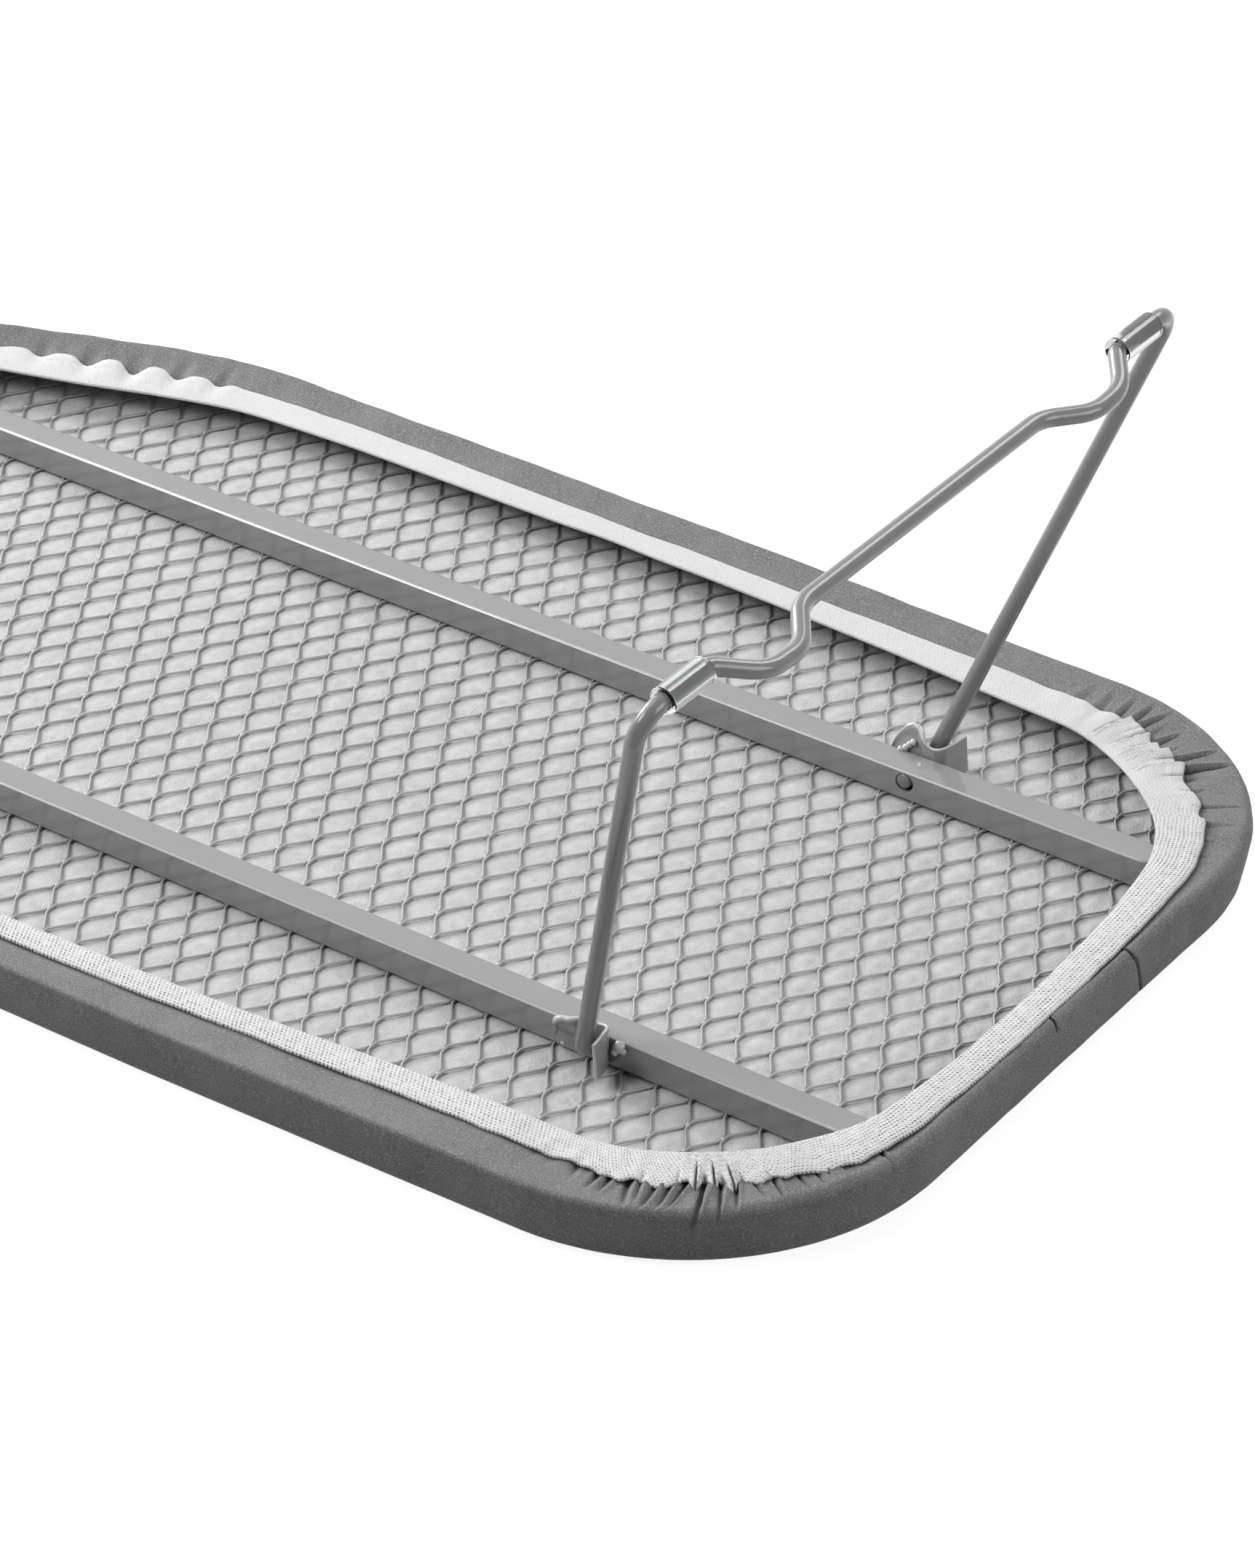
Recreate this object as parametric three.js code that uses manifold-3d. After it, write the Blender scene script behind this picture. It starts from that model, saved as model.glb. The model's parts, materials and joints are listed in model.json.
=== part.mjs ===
import * as THREE from 'three';
import { mergeVertices } from 'three/addons/utils/BufferGeometryUtils.js';
import Module from 'manifold-3d';

// A tabletop ironing board that lies on its ironing face with both legs unfolded.
// Millimetres. The origin is under the middle of the board, +X runs to the square end, +Z is up.

const wasm = await Module();
wasm.setup();

// General fits
const fitGap = 0.3;
const cutOverrun = 20;

// Board outline, over the cover
const boardLength = 730;
const boardWidth = 300;
const squareEndWidth = 295;
const cornerRadius = 80;
const fullWidthFromSquareEnd = 205;
const shoulderFromNose = 360;
const bandNarrowestShare = 0.364;
const neckFromNose = 303;
const neckWidth = 277;
const neckAngle = THREE.MathUtils.degToRad(20.8);
const noseRadius = 62;
const noseSideAngle = THREE.MathUtils.degToRad(11.3);
const bezierHandleShare = 0.36;
const outlineSteps = { end: 2, corner: 4, side: 3, shoulder: 3, neck: 5, nose: 7 };

// Cover, a fabric skin drawn round the edge
const coverThickness = 0.8;
const coverLowerRadius = 5;
const coverUpperRadius = 4;
const coverArcSteps = 2;

// Elastic band: how far its outer and inner edges lie from the board's side, and how far it sags
const elasticThickness = 0.8;
const elasticFlatWidth = 2;
const elasticAt = {
  endMiddle: { outer: 4, inner: 15, sag: 0 },
  endSide: { outer: 6, inner: 17.5, sag: 0 },
  corner: { outer: 11.5, inner: 27, sag: 0.3 },
  sideStart: { outer: 14, inner: 26.5, sag: 1.2 },
  wideStart: { outer: 11.5, inner: 20, sag: 1.8 },
  wideMiddle: { outer: 11, inner: 19.6, sag: 1.8 },
  shoulder: { outer: 12.5, inner: 23.4, sag: 1.8 },
  neck: { outer: 15, inner: 26, sag: 0.4 },
  noseSide: { outer: 12, inner: 22, sag: 0 },
  noseTip: { outer: 10, inner: 20, sag: 0 },
};

// Felt pad under the ironing face
const feltThickness = 5.1;

// Expanded-metal panel; the drawn diamonds are larger than the real 20 mm ones
const meshThickness = 1;
const meshBorder = 8;
const diamondAcross = 62;
const diamondAlong = 34.3;
const strandWidth = 3;
const smallestGapSide = 5.5;

// Rim channel, as tall as the rails
const rimFlange = 10;
const rimWall = 1;

// Rails, two square tubes
const railWidth = 9.6;
const railHeight = 9.1;
const railWall = 1;
const railSpacing = 153;
const pivotAboveRailBottom = 5.3;
const pivotHoleDiameter = 5.9;
const holeSides = 16;

// Legs, each one bent wire
const wireDiameter = 5.1;
const wireSides = 8;
const legLean = THREE.MathUtils.degToRad(17.6);
const legLength = 148.8;
const crossbarSetback = 4;
const dipDepth = 10.3;
const dipOutsideRailMiddle = 1;
const dipFlatWidth = 13;
const dipOuterRun = 12.6;
const dipInnerRun = 14;
const dipBendRadius = 15;
const sleeveBendRadius = 5;
const footBendRadius = 7.8;
const pivotBendRadius = 2.75;
const wireFromRail = 4.17;
const bendSteps = { pivot: 3, foot: 6, dip: 3 };
const squareEndFootWidth = 254.4;
const noseEndFootWidth = 247.6;
const squareEndPivotFromEnd = 99.7;
const noseEndPivotFromTip = 260;

// Foot sleeves
const sleeveOuterDiameter = 7.9;
const sleeveFromDip = 2;
const sleeveSides = 12;

// Hinge brackets, pressed from sheet
const bracketThickness = 1;
const bracketReach = 13.5;
const bracketLeftTop = 1;
const lobePeakBehindPivot = 3.5;
const lobeTop = 11.4;
const lobeRightOfPivot = 1.2;
const notchTop = 7.7;
const lobeBulge = 2.7;
const lobeBulgeStart = 2.5;
const bracketColumns = 9;
const bracketRows = 4;
const earTop = 8.1;
const earThickness = 1.3;
const earReach = 10.7;
const weldRadius = 1.8;
const weldHeight = 1.3;
const weldSegments = 8;
const weldRings = 5;

// Derived levels, from the ironing face up
const feltBottom = coverThickness + fitGap;
const feltTop = feltBottom + feltThickness;
const meshBottom = feltTop + fitGap;
const meshTop = meshBottom + meshThickness;
const frameBottom = meshTop + fitGap;
const rimTop = frameBottom + railHeight;
const wrapBottom = rimTop + fitGap;
const coverTop = wrapBottom + coverThickness;
const elasticTop = wrapBottom + elasticThickness;
const pivotHeight = frameBottom + pivotAboveRailBottom;

// Derived insets and places
const fabricInset = coverThickness + fitGap;
const rimInnerInset = fabricInset + rimFlange;
const squareEndX = boardLength / 2;
const noseTipX = -boardLength / 2;
const railOuterFace = (railSpacing + railWidth) / 2;
const railInnerFace = (railSpacing - railWidth) / 2;
const wireLine = railOuterFace + wireFromRail;
const dipMiddle = railSpacing / 2 + dipOutsideRailMiddle;
const dipOuterCorner = dipMiddle + dipFlatWidth / 2;
const dipInnerCorner = dipMiddle - dipFlatWidth / 2;
const sleeveInnerEnd = dipOuterCorner + dipOuterRun + sleeveFromDip;

const finishes = {
  coverCloth: { color: 0x8b8c8e, roughness: 0.75, metalness: 0.1 },
  elasticKnit: { color: 0xe6e6e6, roughness: 0.9, metalness: 0 },
  felt: { color: 0xcfcfcf, roughness: 1, metalness: 0 },
  greyPaint: { color: 0x9b9c9e, roughness: 0.45, metalness: 0.3 },
  clearVinyl: { color: 0xe8eaec, roughness: 0.2, metalness: 0 },
};

function piece(name, geometry, finish) {
  const shape = geometry.index ? geometry.toNonIndexed() : geometry;
  shape.computeVertexNormals();
  const mesh = new THREE.Mesh(shape, new THREE.MeshStandardMaterial(finishes[finish]));
  mesh.name = name;
  return mesh;
}

function toSolid(geometry) {
  const bare = geometry.clone();
  bare.deleteAttribute('normal');
  bare.deleteAttribute('uv');
  const merged = mergeVertices(bare);
  const vertProperties = new Float32Array(merged.attributes.position.array);
  const triVerts = new Uint32Array(merged.index.array);
  return new wasm.Manifold(new wasm.Mesh({ numProp: 3, vertProperties, triVerts }));
}

function toGeometry(solid) {
  const { vertProperties, triVerts } = solid.getMesh();
  const geometry = new THREE.BufferGeometry();
  geometry.setAttribute('position', new THREE.BufferAttribute(new Float32Array(vertProperties), 3));
  geometry.setIndex(new THREE.BufferAttribute(new Uint32Array(triVerts), 1));
  return geometry;
}

function signedVolume(points, faces) {
  const cross = new THREE.Vector3();
  return faces.reduce((sum, [a, b, c]) => {
    cross.crossVectors(points[b], points[c]);
    return sum + points[a].dot(cross) / 6;
  }, 0);
}

// A closed body from points and triangles, turned so that its faces point outwards.
function closedBody(points, faces) {
  const outward = signedVolume(points, faces) > 0 ? faces : faces.map(([a, b, c]) => [a, c, b]);
  const geometry = new THREE.BufferGeometry().setFromPoints(points);
  geometry.setIndex(outward.flat());
  return geometry;
}

// Skins a stack of matching rings; the stack is capped, or its last ring joins the first.
function skin(rings, capped) {
  const count = rings[0].length;
  const points = rings.flat();
  const faces = [];
  const bands = capped ? rings.length - 1 : rings.length;
  for (let band = 0; band < bands; band += 1) {
    const low = band * count;
    const high = ((band + 1) % rings.length) * count;
    for (let i = 0; i < count; i += 1) {
      const next = (i + 1) % count;
      faces.push([low + i, low + next, high + next], [low + i, high + next, high + i]);
    }
  }
  if (capped) {
    const top = (rings.length - 1) * count;
    const flat = (ring) => ring.map((point) => new THREE.Vector2(point.x, point.y));
    const bottomCap = THREE.ShapeUtils.triangulateShape(flat(rings[0]), []);
    const topCap = THREE.ShapeUtils.triangulateShape(flat(rings[rings.length - 1]), []);
    bottomCap.forEach(([a, b, c]) => faces.push([a, c, b]));
    topCap.forEach(([a, b, c]) => faces.push([top + a, top + b, top + c]));
  }
  return closedBody(points, faces);
}

// Stations on the far half of the outline, from the middle of the square end to the nose tip.
function halfOutline() {
  const v = (x, y) => new THREE.Vector2(x, y);
  const cornerX = squareEndX - cornerRadius;
  const cornerY = squareEndWidth / 2 - cornerRadius;
  const cornerArc = (from, to) =>
    new THREE.EllipseCurve(cornerX, cornerY, cornerRadius, cornerRadius, from, to);
  const wide = boardWidth / 2;
  const fullWidthX = squareEndX - fullWidthFromSquareEnd;
  const shoulder = v(noseTipX + shoulderFromNose, wide);
  const narrowestX = THREE.MathUtils.lerp(fullWidthX, shoulder.x, bandNarrowestShare);
  const neck = v(noseTipX + neckFromNose, neckWidth / 2);
  const noseX = noseTipX + noseRadius;
  const noseSide = v(
    noseX - noseRadius * Math.sin(noseSideAngle),
    noseRadius * Math.cos(noseSideAngle),
  );
  const along = (angle) => v(-Math.cos(angle), -Math.sin(angle));
  const bend = (from, fromAngle, to, toAngle) => {
    const handle = from.distanceTo(to) * bezierHandleShare;
    const first = from.clone().addScaledVector(along(fromAngle), handle);
    const second = to.clone().addScaledVector(along(toAngle), -handle);
    return new THREE.CubicBezierCurve(from, first, second, to);
  };
  const at = elasticAt;
  const steps = outlineSteps;
  const eighth = Math.PI / 4;
  const noseStart = Math.PI / 2 + noseSideAngle;
  const nose = new THREE.EllipseCurve(noseX, 0, noseRadius, noseRadius, noseStart, Math.PI);
  const line = (from, to) => new THREE.LineCurve(from, to);
  const cornerEnd = v(cornerX, squareEndWidth / 2);
  return [
    [line(v(squareEndX, 0), v(squareEndX, cornerY)), steps.end, at.endMiddle, at.endSide],
    [cornerArc(0, eighth), steps.corner, at.endSide, at.corner],
    [cornerArc(eighth, eighth * 2), steps.corner, at.corner, at.sideStart],
    [line(cornerEnd, v(fullWidthX, wide)), steps.side, at.sideStart, at.wideStart],
    [line(v(fullWidthX, wide), v(narrowestX, wide)), steps.side, at.wideStart, at.wideMiddle],
    [line(v(narrowestX, wide), shoulder), steps.side, at.wideMiddle, at.shoulder],
    [bend(shoulder, 0, neck, neckAngle), steps.shoulder, at.shoulder, at.neck],
    [bend(neck, neckAngle, noseSide, noseSideAngle), steps.neck, at.neck, at.noseSide],
    [nose, steps.nose, at.noseSide, at.noseTip],
  ];
}

// One station of the outline: its point, its outward normal and the elastic's edges there.
function stationAt(curve, share, from, to) {
  const point = curve.getPoint(share);
  const tangent = curve.getTangent(share);
  const mix = (key) => THREE.MathUtils.lerp(from[key], to[key], share);
  return {
    point,
    normal: new THREE.Vector2(tangent.y, -tangent.x),
    outer: mix('outer'),
    inner: mix('inner'),
    sag: mix('sag'),
  };
}

function outlineStations() {
  const half = halfOutline().flatMap(([curve, steps, from, to]) =>
    Array.from({ length: steps }, (_, i) => stationAt(curve, i / steps, from, to)));
  const [noseCurve, , from, to] = halfOutline().at(-1);
  const tip = stationAt(noseCurve, 1, from, to);
  const mirrored = half.slice(1).reverse().map((station) => ({
    ...station,
    point: new THREE.Vector2(station.point.x, -station.point.y),
    normal: new THREE.Vector2(station.normal.x, -station.normal.y),
  }));
  return [...half, tip, ...mirrored];
}

const stations = outlineStations();

// The outline moved inwards by an inset, which may be a number or a function of the station.
function outlineRing(inset, height) {
  return stations.map((station) => {
    const depth = typeof inset === 'function' ? inset(station) : inset;
    const z = typeof height === 'function' ? height(station) : height;
    const { point, normal } = station;
    return new THREE.Vector3(point.x - normal.x * depth, point.y - normal.y * depth, z);
  });
}

function outlinePrism(inset, bottom, top) {
  return skin([outlineRing(inset, bottom), outlineRing(inset, top)], true);
}

// Quarter-round profile points as [inset, height] pairs: up to the side from below, and over the top.
function quarterRound(centre, centreHeight, radius, fromAngle) {
  return Array.from({ length: coverArcSteps + 1 }, (_, i) => {
    const angle = fromAngle + (i / coverArcSteps) * (Math.PI / 2);
    return [centre - radius * Math.cos(angle), centreHeight + radius * Math.sin(angle)];
  });
}

function lowerRound(radius) {
  return quarterRound(coverLowerRadius, coverLowerRadius, radius, -Math.PI / 2);
}

function upperRound(radius) {
  return quarterRound(coverUpperRadius, coverTop - coverUpperRadius, radius, 0);
}

function makeCover() {
  const wrapEdge = (station) => station.outer - fitGap;
  const outside = [
    ...lowerRound(coverLowerRadius),
    ...upperRound(coverUpperRadius),
    [wrapEdge, coverTop],
  ];
  const inside = [
    ...lowerRound(coverLowerRadius - coverThickness),
    ...upperRound(coverUpperRadius - coverThickness),
    [wrapEdge, wrapBottom],
  ].reverse();
  const rings = [...outside, ...inside].map(([inset, z]) => outlineRing(inset, z));
  return skin(rings, true);
}

function makeElastic() {
  const flatEdge = (station) => station.outer + elasticFlatWidth;
  return skin([
    outlineRing((station) => station.outer, wrapBottom),
    outlineRing(flatEdge, wrapBottom),
    outlineRing((station) => station.inner, (station) => wrapBottom - station.sag),
    outlineRing((station) => station.inner, (station) => elasticTop - station.sag),
    outlineRing(flatEdge, elasticTop),
    outlineRing((station) => station.outer, elasticTop),
  ], false);
}

function makeFelt() {
  return skin([
    outlineRing(coverLowerRadius, feltBottom),
    outlineRing(fabricInset, coverLowerRadius),
    outlineRing(fabricInset, feltTop),
  ], true);
}

function makeRim() {
  const outer = fabricInset;
  const outerRadius = coverUpperRadius - fabricInset;
  const profile = [
    [outer, frameBottom],
    ...upperRound(outerRadius),
    [rimInnerInset, rimTop],
    [rimInnerInset, rimTop - rimWall],
    ...upperRound(outerRadius - rimWall).reverse(),
    [outer + rimWall, frameBottom + rimWall],
    [rimInnerInset, frameBottom + rimWall],
    [rimInnerInset, frameBottom],
  ];
  return skin(profile.map(([inset, z]) => outlineRing(inset, z)), false);
}

// The diamond gaps that leave strands of the stated width between them.
function diamondGaps() {
  const halfAlong = diamondAlong / 2;
  const halfAcross = diamondAcross / 2;
  const sideDistance = (2 * halfAlong * halfAcross) / Math.hypot(halfAlong, halfAcross);
  const openShare = 1 - strandWidth / sideDistance;
  const columns = Math.ceil(boardLength / diamondAlong);
  const rows = Math.ceil(boardWidth / diamondAcross);
  const gaps = [];
  for (let column = -columns; column <= columns; column += 1) {
    for (let row = -rows; row <= rows; row += 1) {
      if ((column + row) % 2 !== 0) {
        const x = column * halfAlong;
        const y = row * halfAcross;
        gaps.push(new THREE.Shape([
          new THREE.Vector2(x + halfAlong * openShare, y),
          new THREE.Vector2(x, y + halfAcross * openShare),
          new THREE.Vector2(x - halfAlong * openShare, y),
          new THREE.Vector2(x, y - halfAcross * openShare),
        ]));
      }
    }
  }
  return gaps;
}

function makeMeshPanel() {
  const gapDepth = meshThickness + 2 * cutOverrun;
  const gaps = new THREE.ExtrudeGeometry(diamondGaps(), { depth: gapDepth, bevelEnabled: false });
  gaps.translate(0, 0, meshBottom - cutOverrun);
  const inner = outlinePrism(fabricInset + meshBorder, meshBottom - cutOverrun, meshTop + cutOverrun);
  const openings = toSolid(gaps)
    .intersect(toSolid(inner))
    .decompose()
    .filter((opening) => opening.volume() > smallestGapSide ** 2 * gapDepth);
  console.log(`mesh panel gaps: ${openings.length}`);
  const plate = toSolid(outlinePrism(fabricInset, meshBottom, meshTop));
  return toGeometry(plate.subtract(wasm.Manifold.compose(openings)));
}

function makeRail(side) {
  const box = (width, height, length) => new THREE.BoxGeometry(length, width, height);
  const middleHeight = frameBottom + railHeight / 2;
  const middleY = (side * railSpacing) / 2;
  const tubeWidth = railWidth - 2 * railWall;
  const tubeHeight = railHeight - 2 * railWall;
  const outside = box(railWidth, railHeight, boardLength).translate(0, middleY, middleHeight);
  const bore = box(tubeWidth, tubeHeight, boardLength + cutOverrun);
  bore.translate(0, middleY, middleHeight);
  const inner = outlinePrism(rimInnerInset + fitGap, meshBottom, rimTop + railHeight);
  let rail = toSolid(outside).subtract(toSolid(bore)).intersect(toSolid(inner));
  for (const x of [squareEndX - squareEndPivotFromEnd, noseTipX + noseEndPivotFromTip]) {
    const radius = pivotHoleDiameter / 2;
    const hole = new THREE.CylinderGeometry(radius, radius, railWidth + cutOverrun, holeSides);
    hole.translate(x, middleY, pivotHeight);
    rail = rail.subtract(toSolid(hole));
  }
  return toGeometry(rail);
}

// A path of straight runs and round bends, as points with their directions.
class BentWire extends THREE.Curve {
  constructor(corners, bends) {
    super();
    this.points = [corners[0]];
    this.tangents = [corners[1].clone().sub(corners[0]).normalize()];
    for (let i = 1; i < corners.length - 1; i += 1) {
      this.addBend(corners[i - 1], corners[i], corners[i + 1], bends[i - 1]);
    }
    this.points.push(corners.at(-1));
    this.tangents.push(corners.at(-1).clone().sub(corners.at(-2)).normalize());
  }

  addBend(before, corner, after, { radius, steps }) {
    const into = corner.clone().sub(before).normalize();
    const out = after.clone().sub(corner).normalize();
    const turn = into.angleTo(out);
    const start = corner.clone().addScaledVector(into, -radius * Math.tan(turn / 2));
    const sideways = out.clone().addScaledVector(into, -out.dot(into)).normalize();
    for (let step = 0; step <= steps; step += 1) {
      const angle = (turn * step) / steps;
      this.points.push(start.clone()
        .addScaledVector(into, radius * Math.sin(angle))
        .addScaledVector(sideways, radius * (1 - Math.cos(angle))));
      this.tangents.push(into.clone().multiplyScalar(Math.cos(angle))
        .addScaledVector(sideways, Math.sin(angle)));
    }
  }

  get steps() {
    return this.points.length - 1;
  }

  getPoint(share) {
    return this.points[Math.round(share * this.steps)].clone();
  }

  getPointAt(share) {
    return this.getPoint(share);
  }

  getTangentAt(share) {
    return this.tangents[Math.round(share * this.steps)].clone();
  }
}

function legCorners(footWidth) {
  const crossbar = legLength - crossbarSetback;
  const dipShare = (run) => crossbar + crossbarSetback * run;
  const dipLength = dipOuterRun + dipFlatWidth + dipInnerRun;
  const innerShare = dipInnerRun / dipLength;
  const outerShare = (dipInnerRun + dipFlatWidth) / dipLength;
  const half = [
    [0, railInnerFace + fitGap, 0],
    [0, wireLine, 0],
    [0, footWidth / 2, legLength],
    [0, dipOuterCorner + dipOuterRun, legLength],
    [dipDepth, dipOuterCorner, dipShare(outerShare)],
    [dipDepth, dipInnerCorner, dipShare(innerShare)],
    [0, dipInnerCorner - dipInnerRun, crossbar],
  ];
  const near = half.map(([x, y, z]) => new THREE.Vector3(x, -y, z));
  const far = half.map(([x, y, z]) => new THREE.Vector3(x, y, z)).reverse();
  return [...near, ...far];
}

function makeWire(footWidth) {
  const halfBends = [
    { radius: pivotBendRadius, steps: bendSteps.pivot },
    { radius: footBendRadius, steps: bendSteps.foot },
    { radius: sleeveBendRadius, steps: bendSteps.dip },
    { radius: dipBendRadius, steps: bendSteps.dip },
    { radius: dipBendRadius, steps: bendSteps.dip },
    { radius: dipBendRadius, steps: bendSteps.dip },
  ];
  const path = new BentWire(legCorners(footWidth), [...halfBends, ...[...halfBends].reverse()]);
  const section = new THREE.Shape(Array.from({ length: wireSides }, (_, i) => {
    const angle = (2 * Math.PI * i) / wireSides;
    const radius = wireDiameter / 2;
    return new THREE.Vector2(radius * Math.cos(angle), radius * Math.sin(angle));
  }));
  const options = { steps: path.steps, extrudePath: path, bevelEnabled: false };
  return toGeometry(toSolid(new THREE.ExtrudeGeometry(section, options)));
}

// A sleeve covers the straight run of wire between the foot's bend and the dip.
function sleeveOuterEnd(footWidth) {
  const splay = Math.atan2(footWidth / 2 - wireLine, legLength);
  const bendRun = footBendRadius * Math.tan((Math.PI / 2 + splay) / 2);
  return footWidth / 2 - bendRun - fitGap;
}

function makeSleeve(footWidth) {
  const inner = wireDiameter / 2 + fitGap;
  const outer = sleeveOuterDiameter / 2;
  const from = sleeveInnerEnd;
  const to = sleeveOuterEnd(footWidth);
  const profile = [[inner, from], [outer, from], [outer, to], [inner, to], [inner, from]];
  const points = profile.map(([radius, y]) => new THREE.Vector2(radius, y));
  return toGeometry(toSolid(new THREE.LatheGeometry(points, sleeveSides)));
}

// Height of the bracket's upper edge above the pivot, at a place along the rail.
function bracketTopAt(x) {
  const peak = -lobePeakBehindPivot;
  if (x < peak) {
    const share = (x + bracketReach) / (peak + bracketReach);
    return bracketLeftTop + (lobeTop - bracketLeftTop) * Math.sin((share * Math.PI) / 2);
  }
  if (x < lobeRightOfPivot) {
    const share = (x - peak) / (lobeRightOfPivot - peak);
    return notchTop + (lobeTop - notchTop) * Math.cos((share * Math.PI) / 2);
  }
  return notchTop;
}

// A bracket in its hinge's own frame: the ear is on the +X side, Y is measured from the board's middle.
function makeBracket(side) {
  const inside = railOuterFace + fitGap;
  const outside = inside + bracketThickness;
  const earInner = Math.tan(legLean) * earTop + wireDiameter / 2 / Math.cos(legLean) + fitGap;
  const earOuter = earInner + earThickness;
  const bottom = fitGap - pivotAboveRailBottom;
  const bulgeAt = (x, z) => {
    const rise = THREE.MathUtils.smoothstep(z, lobeBulgeStart, lobeTop);
    return x < lobeRightOfPivot ? lobeBulge * rise : 0;
  };
  const sheet = (face) => Array.from({ length: bracketRows + 1 }, (_, row) =>
    Array.from({ length: bracketColumns + 1 }, (__, column) => {
      const x = -bracketReach + ((earOuter + bracketReach) * column) / bracketColumns;
      const z = bottom + ((bracketTopAt(x) - bottom) * row) / bracketRows;
      return new THREE.Vector3(x, side * (face + bulgeAt(x, z)), z);
    }));
  const front = sheet(outside);
  const back = sheet(inside);
  const loops = front.map((row, i) => [...row, ...[...back[i]].reverse()]);
  const plate = toSolid(stackOfLoops(loops));
  const ear = new THREE.BoxGeometry(earThickness, earReach, earTop - bottom);
  ear.translate(earInner + earThickness / 2, side * (inside + earReach / 2), (earTop + bottom) / 2);
  const weld = new THREE.SphereGeometry(weldRadius, weldSegments, weldRings);
  weld.translate(earOuter + weldRadius / 2, side * (inside + weldRadius), weldHeight);
  const holeRadius = pivotHoleDiameter / 2;
  const hole = new THREE.CylinderGeometry(holeRadius, holeRadius, boardWidth, holeSides);
  return toGeometry(plate.add(toSolid(ear)).add(toSolid(weld)).subtract(toSolid(hole)));
}

// Skins loops that each run out along a sheet's front and back along its rear, with strip caps.
function stackOfLoops(loops) {
  const count = loops[0].length;
  const points = loops.flat();
  const faces = [];
  for (let band = 0; band < loops.length - 1; band += 1) {
    const low = band * count;
    const high = low + count;
    for (let i = 0; i < count; i += 1) {
      const next = (i + 1) % count;
      faces.push([low + i, low + next, high + next], [low + i, high + next, high + i]);
    }
  }
  const top = (loops.length - 1) * count;
  for (let i = 0; i < count / 2 - 1; i += 1) {
    const j = count - 1 - i;
    faces.push([i, j, j - 1], [i, j - 1, i + 1]);
    faces.push([top + i, top + j - 1, top + j], [top + i, top + i + 1, top + j - 1]);
  }
  return closedBody(points, faces);
}

// A hinge with its two brackets and its leg; its +X side faces the end that it serves.
function makeHinge(end, pivotX, turn, footWidth) {
  const hinge = new THREE.Group();
  hinge.position.set(pivotX, 0, pivotHeight);
  hinge.rotation.z = turn;
  const leg = new THREE.Group();
  leg.rotation.y = legLean;
  leg.add(piece(`${end}_leg`, makeWire(footWidth), 'greyPaint'));
  for (const side of [-1, 1]) {
    const place = side * Math.cos(turn) < 0 ? 'near' : 'far';
    hinge.add(piece(`${end}_bracket_${place}`, makeBracket(side), 'greyPaint'));
    const sleeve = piece(`${end}_foot_sleeve_${place}`, makeSleeve(footWidth), 'clearVinyl');
    sleeve.rotation.x = side < 0 ? Math.PI : 0;
    sleeve.position.z = legLength;
    leg.add(sleeve);
  }
  hinge.add(leg);
  return hinge;
}

const board = new THREE.Group();
board.add(piece('cover', makeCover(), 'coverCloth'));
board.add(piece('elastic_band', makeElastic(), 'elasticKnit'));
board.add(piece('felt_pad', makeFelt(), 'felt'));
board.add(piece('mesh_panel', makeMeshPanel(), 'greyPaint'));
board.add(piece('rim_frame', makeRim(), 'greyPaint'));
board.add(piece('rail_near', makeRail(-1), 'greyPaint'));
board.add(piece('rail_far', makeRail(1), 'greyPaint'));
board.add(makeHinge('square_end', squareEndX - squareEndPivotFromEnd, 0, squareEndFootWidth));
board.add(makeHinge('nose_end', noseTipX + noseEndPivotFromTip, Math.PI, noseEndFootWidth));

export default board;
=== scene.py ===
import json
import math
import bmesh
import bpy
import numpy as np
from mathutils import Matrix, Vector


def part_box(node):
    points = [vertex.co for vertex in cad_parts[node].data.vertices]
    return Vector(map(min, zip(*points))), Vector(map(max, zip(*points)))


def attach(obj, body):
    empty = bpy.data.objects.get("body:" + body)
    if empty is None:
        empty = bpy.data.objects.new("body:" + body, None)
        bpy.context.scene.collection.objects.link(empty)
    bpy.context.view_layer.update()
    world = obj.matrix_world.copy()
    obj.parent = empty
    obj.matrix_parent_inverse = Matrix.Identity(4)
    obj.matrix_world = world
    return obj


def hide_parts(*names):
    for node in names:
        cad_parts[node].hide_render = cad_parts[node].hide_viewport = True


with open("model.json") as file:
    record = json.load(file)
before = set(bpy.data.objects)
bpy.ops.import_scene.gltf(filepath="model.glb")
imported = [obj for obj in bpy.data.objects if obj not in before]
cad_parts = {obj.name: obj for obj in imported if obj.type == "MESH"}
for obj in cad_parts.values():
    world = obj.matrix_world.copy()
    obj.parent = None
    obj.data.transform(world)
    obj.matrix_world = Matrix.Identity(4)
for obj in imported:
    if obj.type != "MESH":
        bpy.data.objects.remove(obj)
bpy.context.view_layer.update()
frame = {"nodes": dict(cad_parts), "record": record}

# A tabletop ironing board that lies on its ironing face, legs up
# Everything is in metres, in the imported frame; mm turns the sizes below into metres
mm = 0.001
nodes = frame["nodes"]
print("frame loaded:", len(nodes), "nodes")


# Numbers along a line

def easeBetween(low, high, x):  # 0 below low, 1 above high, t * t * (3 - 2 t) between
    t = np.clip((x - low) / (high - low), 0, 1)
    return t * t * (3 - 2 * t)


def window(x, a, b, c, d):  # rises from a to b and falls from c to d
    return easeBetween(a, b, x) * (1 - easeBetween(c, d, x))


def bell(x, middle, width):  # exp(-((x - middle) / width) squared)
    return np.exp(-((x - middle) / width) ** 2)


latticeLength, latticeStart = 257, 64  # cells of a noise's lattice along v, and the cell where v is 0


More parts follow.
